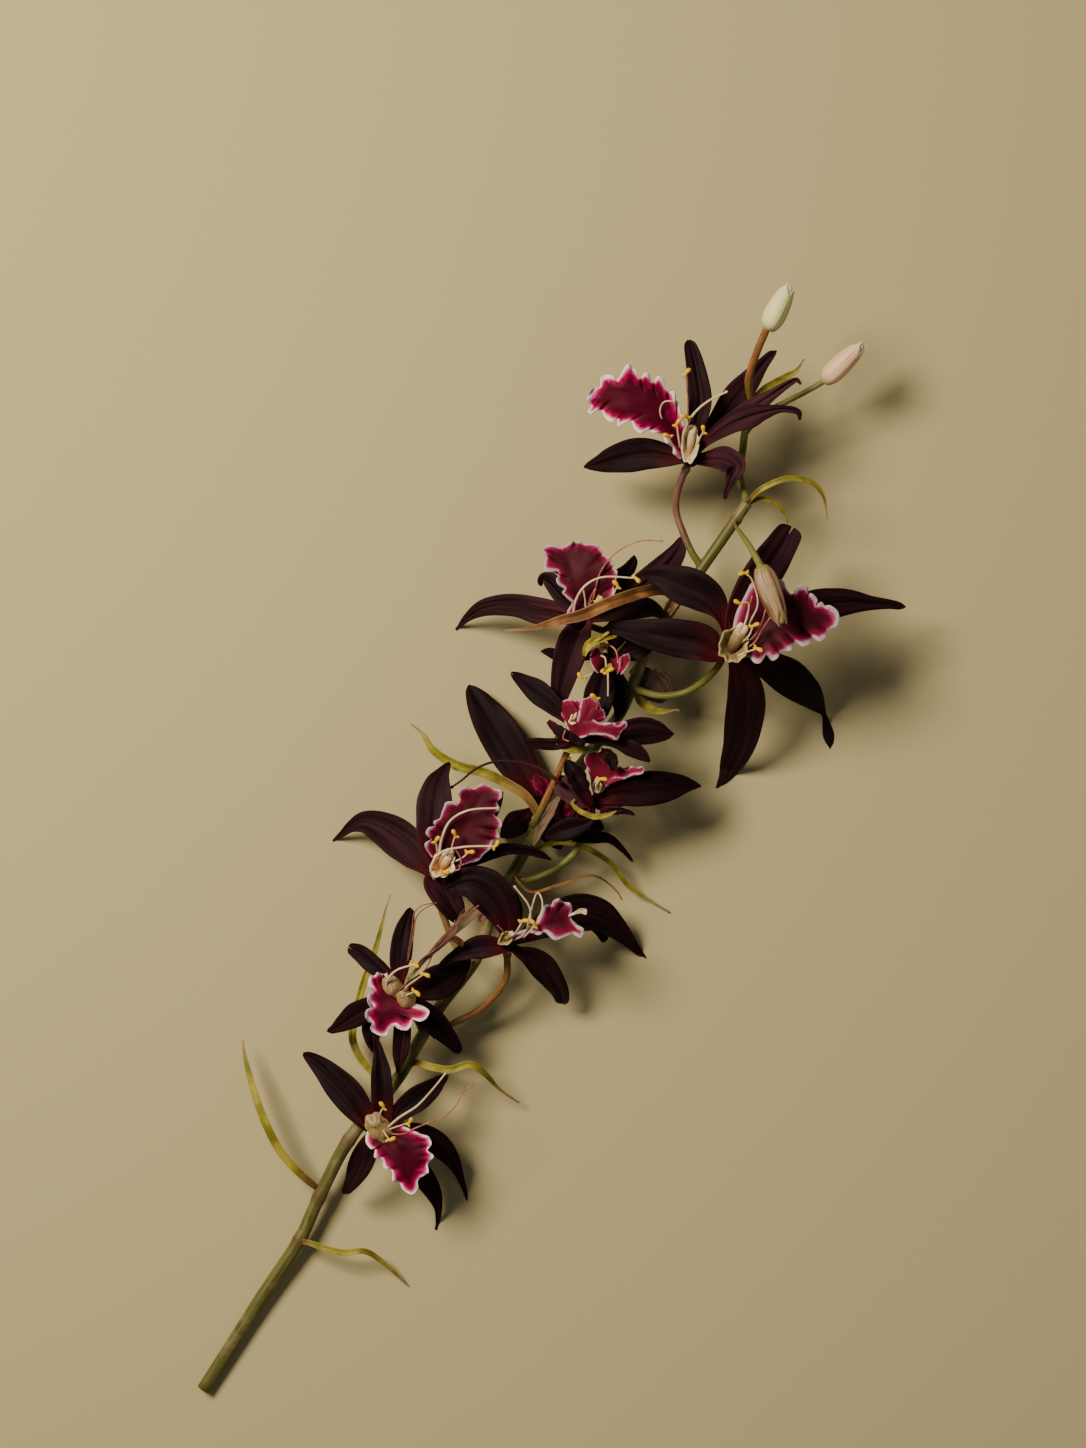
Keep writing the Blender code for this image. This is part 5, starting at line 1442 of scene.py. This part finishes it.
def make_stem():
    piece = Piece()
    places = [i / STEM_STEPS for i in range((len(STEM) - 1) * STEM_STEPS + 1)]
    points = [through(STEM, t) for t in places]
    radii = [stem_radius(t) for t in places]
    stains = [max(math.exp(-(((t - joint) / JOINT_STAIN) ** 2)) for joint in STEM_JOINTS) for t in places]

    def ridges(along, around):
        return 1 + 0.012 * math.cos(math.tau * 7 * around) + 0.025 * noise.noise((along * 40, around * 3, 0))

    grooved(piece, points, radii, stains, STEM_SIDES, "stem", ridges)
    first, second = points[0], points[1]
    ahead = (first - second).normalized()
    pipe(piece, [first - ahead * 0.3, first + ahead * 0.12], [radii[0] * 0.96] * 2, STEM_SIDES, "cut")
    stalk(piece, BUD_BRANCH, BRANCH_RADIUS, False, "branch")
    for bloom in BLOOMS:
        stalk(piece, bloom.stalk, STALK_RADIUS, True, bloom.tone)
    for bud in BUDS:
        if bud.stalk:
            stalk(piece, bud.stalk, BUD_STALK_RADIUS, False, "green", bud.wedge)
    add_blades(piece, "stem")
    piece.make("stem_fine", ["stem"])


def grooved(piece, points, radii, joints, sides, skin, lumps):
    """A pipe whose third mark is how far along it a point is, and whose free one how near to a joint."""
    before = len(piece.marks)
    pipe(piece, points, radii, sides, skin, lumps=lumps)
    for i, near in enumerate(joints):
        for k in range(sides):
            along, around, _, _ = piece.marks[before + i * sides + k]
            piece.marks[before + i * sides + k] = (along * len(points) / RIDGE_POINTS, around, along, near)


# How far below its bloom a stalk's collar is, and how much the collar and foot swell and over what length.
COLLAR_PLACE = 7.0
COLLAR_SWELL, COLLAR_REACH = 0.32, 0.9
FOOT_SWELL, FOOT_REACH = 0.3, 2.5


def stalk(piece, path, radius, collared, skin, wedge=0.0):
    """A stalk, thicker at its foot, with a collar a little below the bloom if it is collared."""
    count = (len(path) - 1) * STALK_STEPS
    points = evenly(path, count)
    length = sum((b - a).length for a, b in zip(points, points[1:]))
    collar = 1 - COLLAR_PLACE / length if length > 2 * COLLAR_PLACE else 0.5
    radii = []
    joints = []
    for i in range(count + 1):
        t = i / count
        swell = STALK_SWELL * smooth((t - collar) / (1 - collar)) if collared else 0
        ring = math.exp(-(((t - collar) * length / COLLAR_REACH) ** 2)) if collared else 0
        foot = math.exp(-((t * length / FOOT_REACH) ** 2))
        thick = 1 + swell + COLLAR_SWELL * ring + FOOT_SWELL * foot
        radii.append(radius * FINE_STEM * (1 - wedge * (0.7 - t)) * thick)
        joints.append(max(math.exp(-((t * length / FOOT_STAIN) ** 2)), 0.8 * ring))

    def lumps(along, around):
        ribs = 0.02 * math.cos(math.tau * 5 * around)
        return 1 + ribs + 0.05 * noise.noise((along * 12, around * 3, radius))

    grooved(piece, points, radii, joints, STALK_SIDES, skin, lumps)


# Buds.

BUD_ROWS, BUD_SIDES = 26, 30
# The girth and ends of the core and of the tepals, by the solid's, and how far round it a tepal reaches.
CORE_GIRTH, CORE_END = 0.86, 0.98
TEPAL_GIRTH, TEPAL_START, TEPAL_END = 0.93, 0.03, 1.02
TEPAL_REACH = 78
TEPAL_ROWS, TEPAL_COLUMNS = 40, 26


def make_bud(bud):
    """A core, and three long tepals that wrap it, each over the next one's edge, with split tips."""
    dice = random.Random(bud.name)
    base, tip = Vector(bud.base), Vector(bud.tip)
    length = (tip - base).length
    ahead = (tip - base).normalized()
    first_side = ahead.orthogonal().normalized()
    points = [base.lerp(tip, CORE_END * i / BUD_ROWS) for i in range(BUD_ROWS + 1)]
    radii = [bud.radius * CORE_GIRTH * share_of(BUD_SHAPE, i / BUD_ROWS) for i in range(BUD_ROWS + 1)]
    piece = Piece()
    pipe(piece, points, radii, BUD_SIDES, bud.name, dice.uniform(0, 90))
    for k in range(3):
        side = Matrix.Rotation(math.tau * (k / 3 + 0.1), 3, ahead) @ first_side
        across = ahead.cross(side)
        flare = dice.uniform(0.05, 0.16)

        def tepal(u, v, side=side, across=across, flare=flare):
            t = TEPAL_START + (TEPAL_END - TEPAL_START) * u
            narrow = 1 - 0.92 * smooth((u - 0.72) / 0.28)
            spread = math.radians(TEPAL_REACH) * v * narrow
            over = 1 + 0.035 * v * narrow + flare * smooth((u - 0.86) / 0.14)
            ribs = 1 + bud.ribs * math.cos(math.pi * 3 * v) * smooth(u / 0.15) * narrow
            radius = bud.radius * (share_of(BUD_SHAPE, min(t, 1)) * TEPAL_GIRTH * over * ribs)
            out = side * math.cos(spread) + across * math.sin(spread)
            return base + ahead * length * t + out * radius

        slab(piece, tepal, TEPAL_ROWS, TEPAL_COLUMNS, TEPAL_THICKNESS, bud.name, dice.uniform(0, 90))
    piece.make(bud.name + "_fine", [bud.name])


# Bracts and tendrils.

BRACT_ROWS, BRACT_COLUMNS = 70, 8
BRACT_CUP = 0.45


def make_bract(bract):
    dice = random.Random(bract.name)
    last = len(bract.path) - 1
    seed = dice.uniform(0, 50)
    twist = dice.uniform(-0.5, 0.5)

    def surface(u, v):
        point = through(bract.path, u * last)
        ahead = through(bract.path, min(u + 0.02, 1) * last) - through(bract.path, max(u - 0.02, 0) * last)
        left = UP.cross(ahead).normalized()
        normal = ahead.normalized().cross(left)
        left, normal = turned(left, normal, twist * u)
        swell = math.sin(math.pi * (0.2 + 0.75 * u))
        narrow = 1 - 0.75 * smooth((u - 0.7) / 0.3)
        reach = bract.width / 2 * (BRACT_BASE + (1 - BRACT_BASE) * swell) * narrow
        lift = BRACT_CUP * abs(v) * reach + 0.25 * noise.noise((u * 9, v, seed)) * abs(v)
        return point + left * v * reach + normal * lift

    piece = Piece()
    slab(piece, surface, BRACT_ROWS, BRACT_COLUMNS, BRACT_THICKNESS, bract.skin, int(seed) + bract.foot)
    piece.make(bract.name + "_fine", [bract.name])


# The set: floor, light and camera.

FLOOR_REACH = 4.0
FLOOR_DROP = 0.0002
FLOOR_COLOUR = (0.49, 0.41, 0.205, 1)
AIR_COLOUR, AIR_STRENGTH = (0.78, 0.76, 0.72, 1), 0.11
# Each light's name, place, size, power and colour.
LIGHTS = (
    ("window", (-0.66, 0.52, 1.1), 0.5, 27, (1.0, 0.91, 0.76)),
    ("fill", (0.9, -0.6, 1.8), 1.6, 2, (0.92, 0.94, 1.0)),
)


def make_floor():
    mesh = bpy.data.meshes.new("floor")
    signs = ((-1, -1), (1, -1), (1, 1), (-1, 1))
    corners = [(FLOOR_REACH * x, FLOOR_REACH * y, -FLOOR_DROP) for x, y in signs]
    mesh.from_pydata(corners, [], [(0, 1, 2, 3)])
    material, tree, principled = shader("floor", 0.85, Specular_IOR_Level=0.2)
    principled.inputs["Base Color"].default_value = FLOOR_COLOUR
    mesh.materials.append(material)
    floor = bpy.data.objects.new("floor", mesh)
    bpy.context.scene.collection.objects.link(floor)


def make_light(name, place, size, power, colour):
    lamp = bpy.data.lights.new(name, "AREA")
    lamp.shape = "DISK"
    lamp.size = size
    lamp.energy = power
    lamp.color = colour
    obj = bpy.data.objects.new(name, lamp)
    obj.location = place
    obj.rotation_euler = (Vector((0, 0, 0)) - Vector(place)).to_track_quat("-Z", "Y").to_euler()
    bpy.context.scene.collection.objects.link(obj)


def make_set():
    make_floor()
    for light in LIGHTS:
        make_light(*light)
    world = bpy.data.worlds.new("studio")
    world.use_nodes = True
    air = world.node_tree.nodes["Background"]
    air.inputs["Color"].default_value = AIR_COLOUR
    air.inputs["Strength"].default_value = AIR_STRENGTH
    bpy.context.scene.world = world
    camera = bpy.data.objects.new("camera", bpy.data.cameras.new("camera"))
    camera.location = (-ORIGIN.x * MM, -ORIGIN.y * MM, CAMERA_HEIGHT)
    camera.data.lens = camera.data.sensor_width * CAMERA_HEIGHT / (PHOTO_HEIGHT_PX * METRES_PER_PX)
    bpy.context.scene.collection.objects.link(camera)
    bpy.context.scene.camera = camera


make_set()
make_stem()
for bloom in BLOOMS:
    make_bloom(bloom)
for bud in BUDS:
    make_bud(bud)
for bract in BRACTS:
    make_bract(bract)
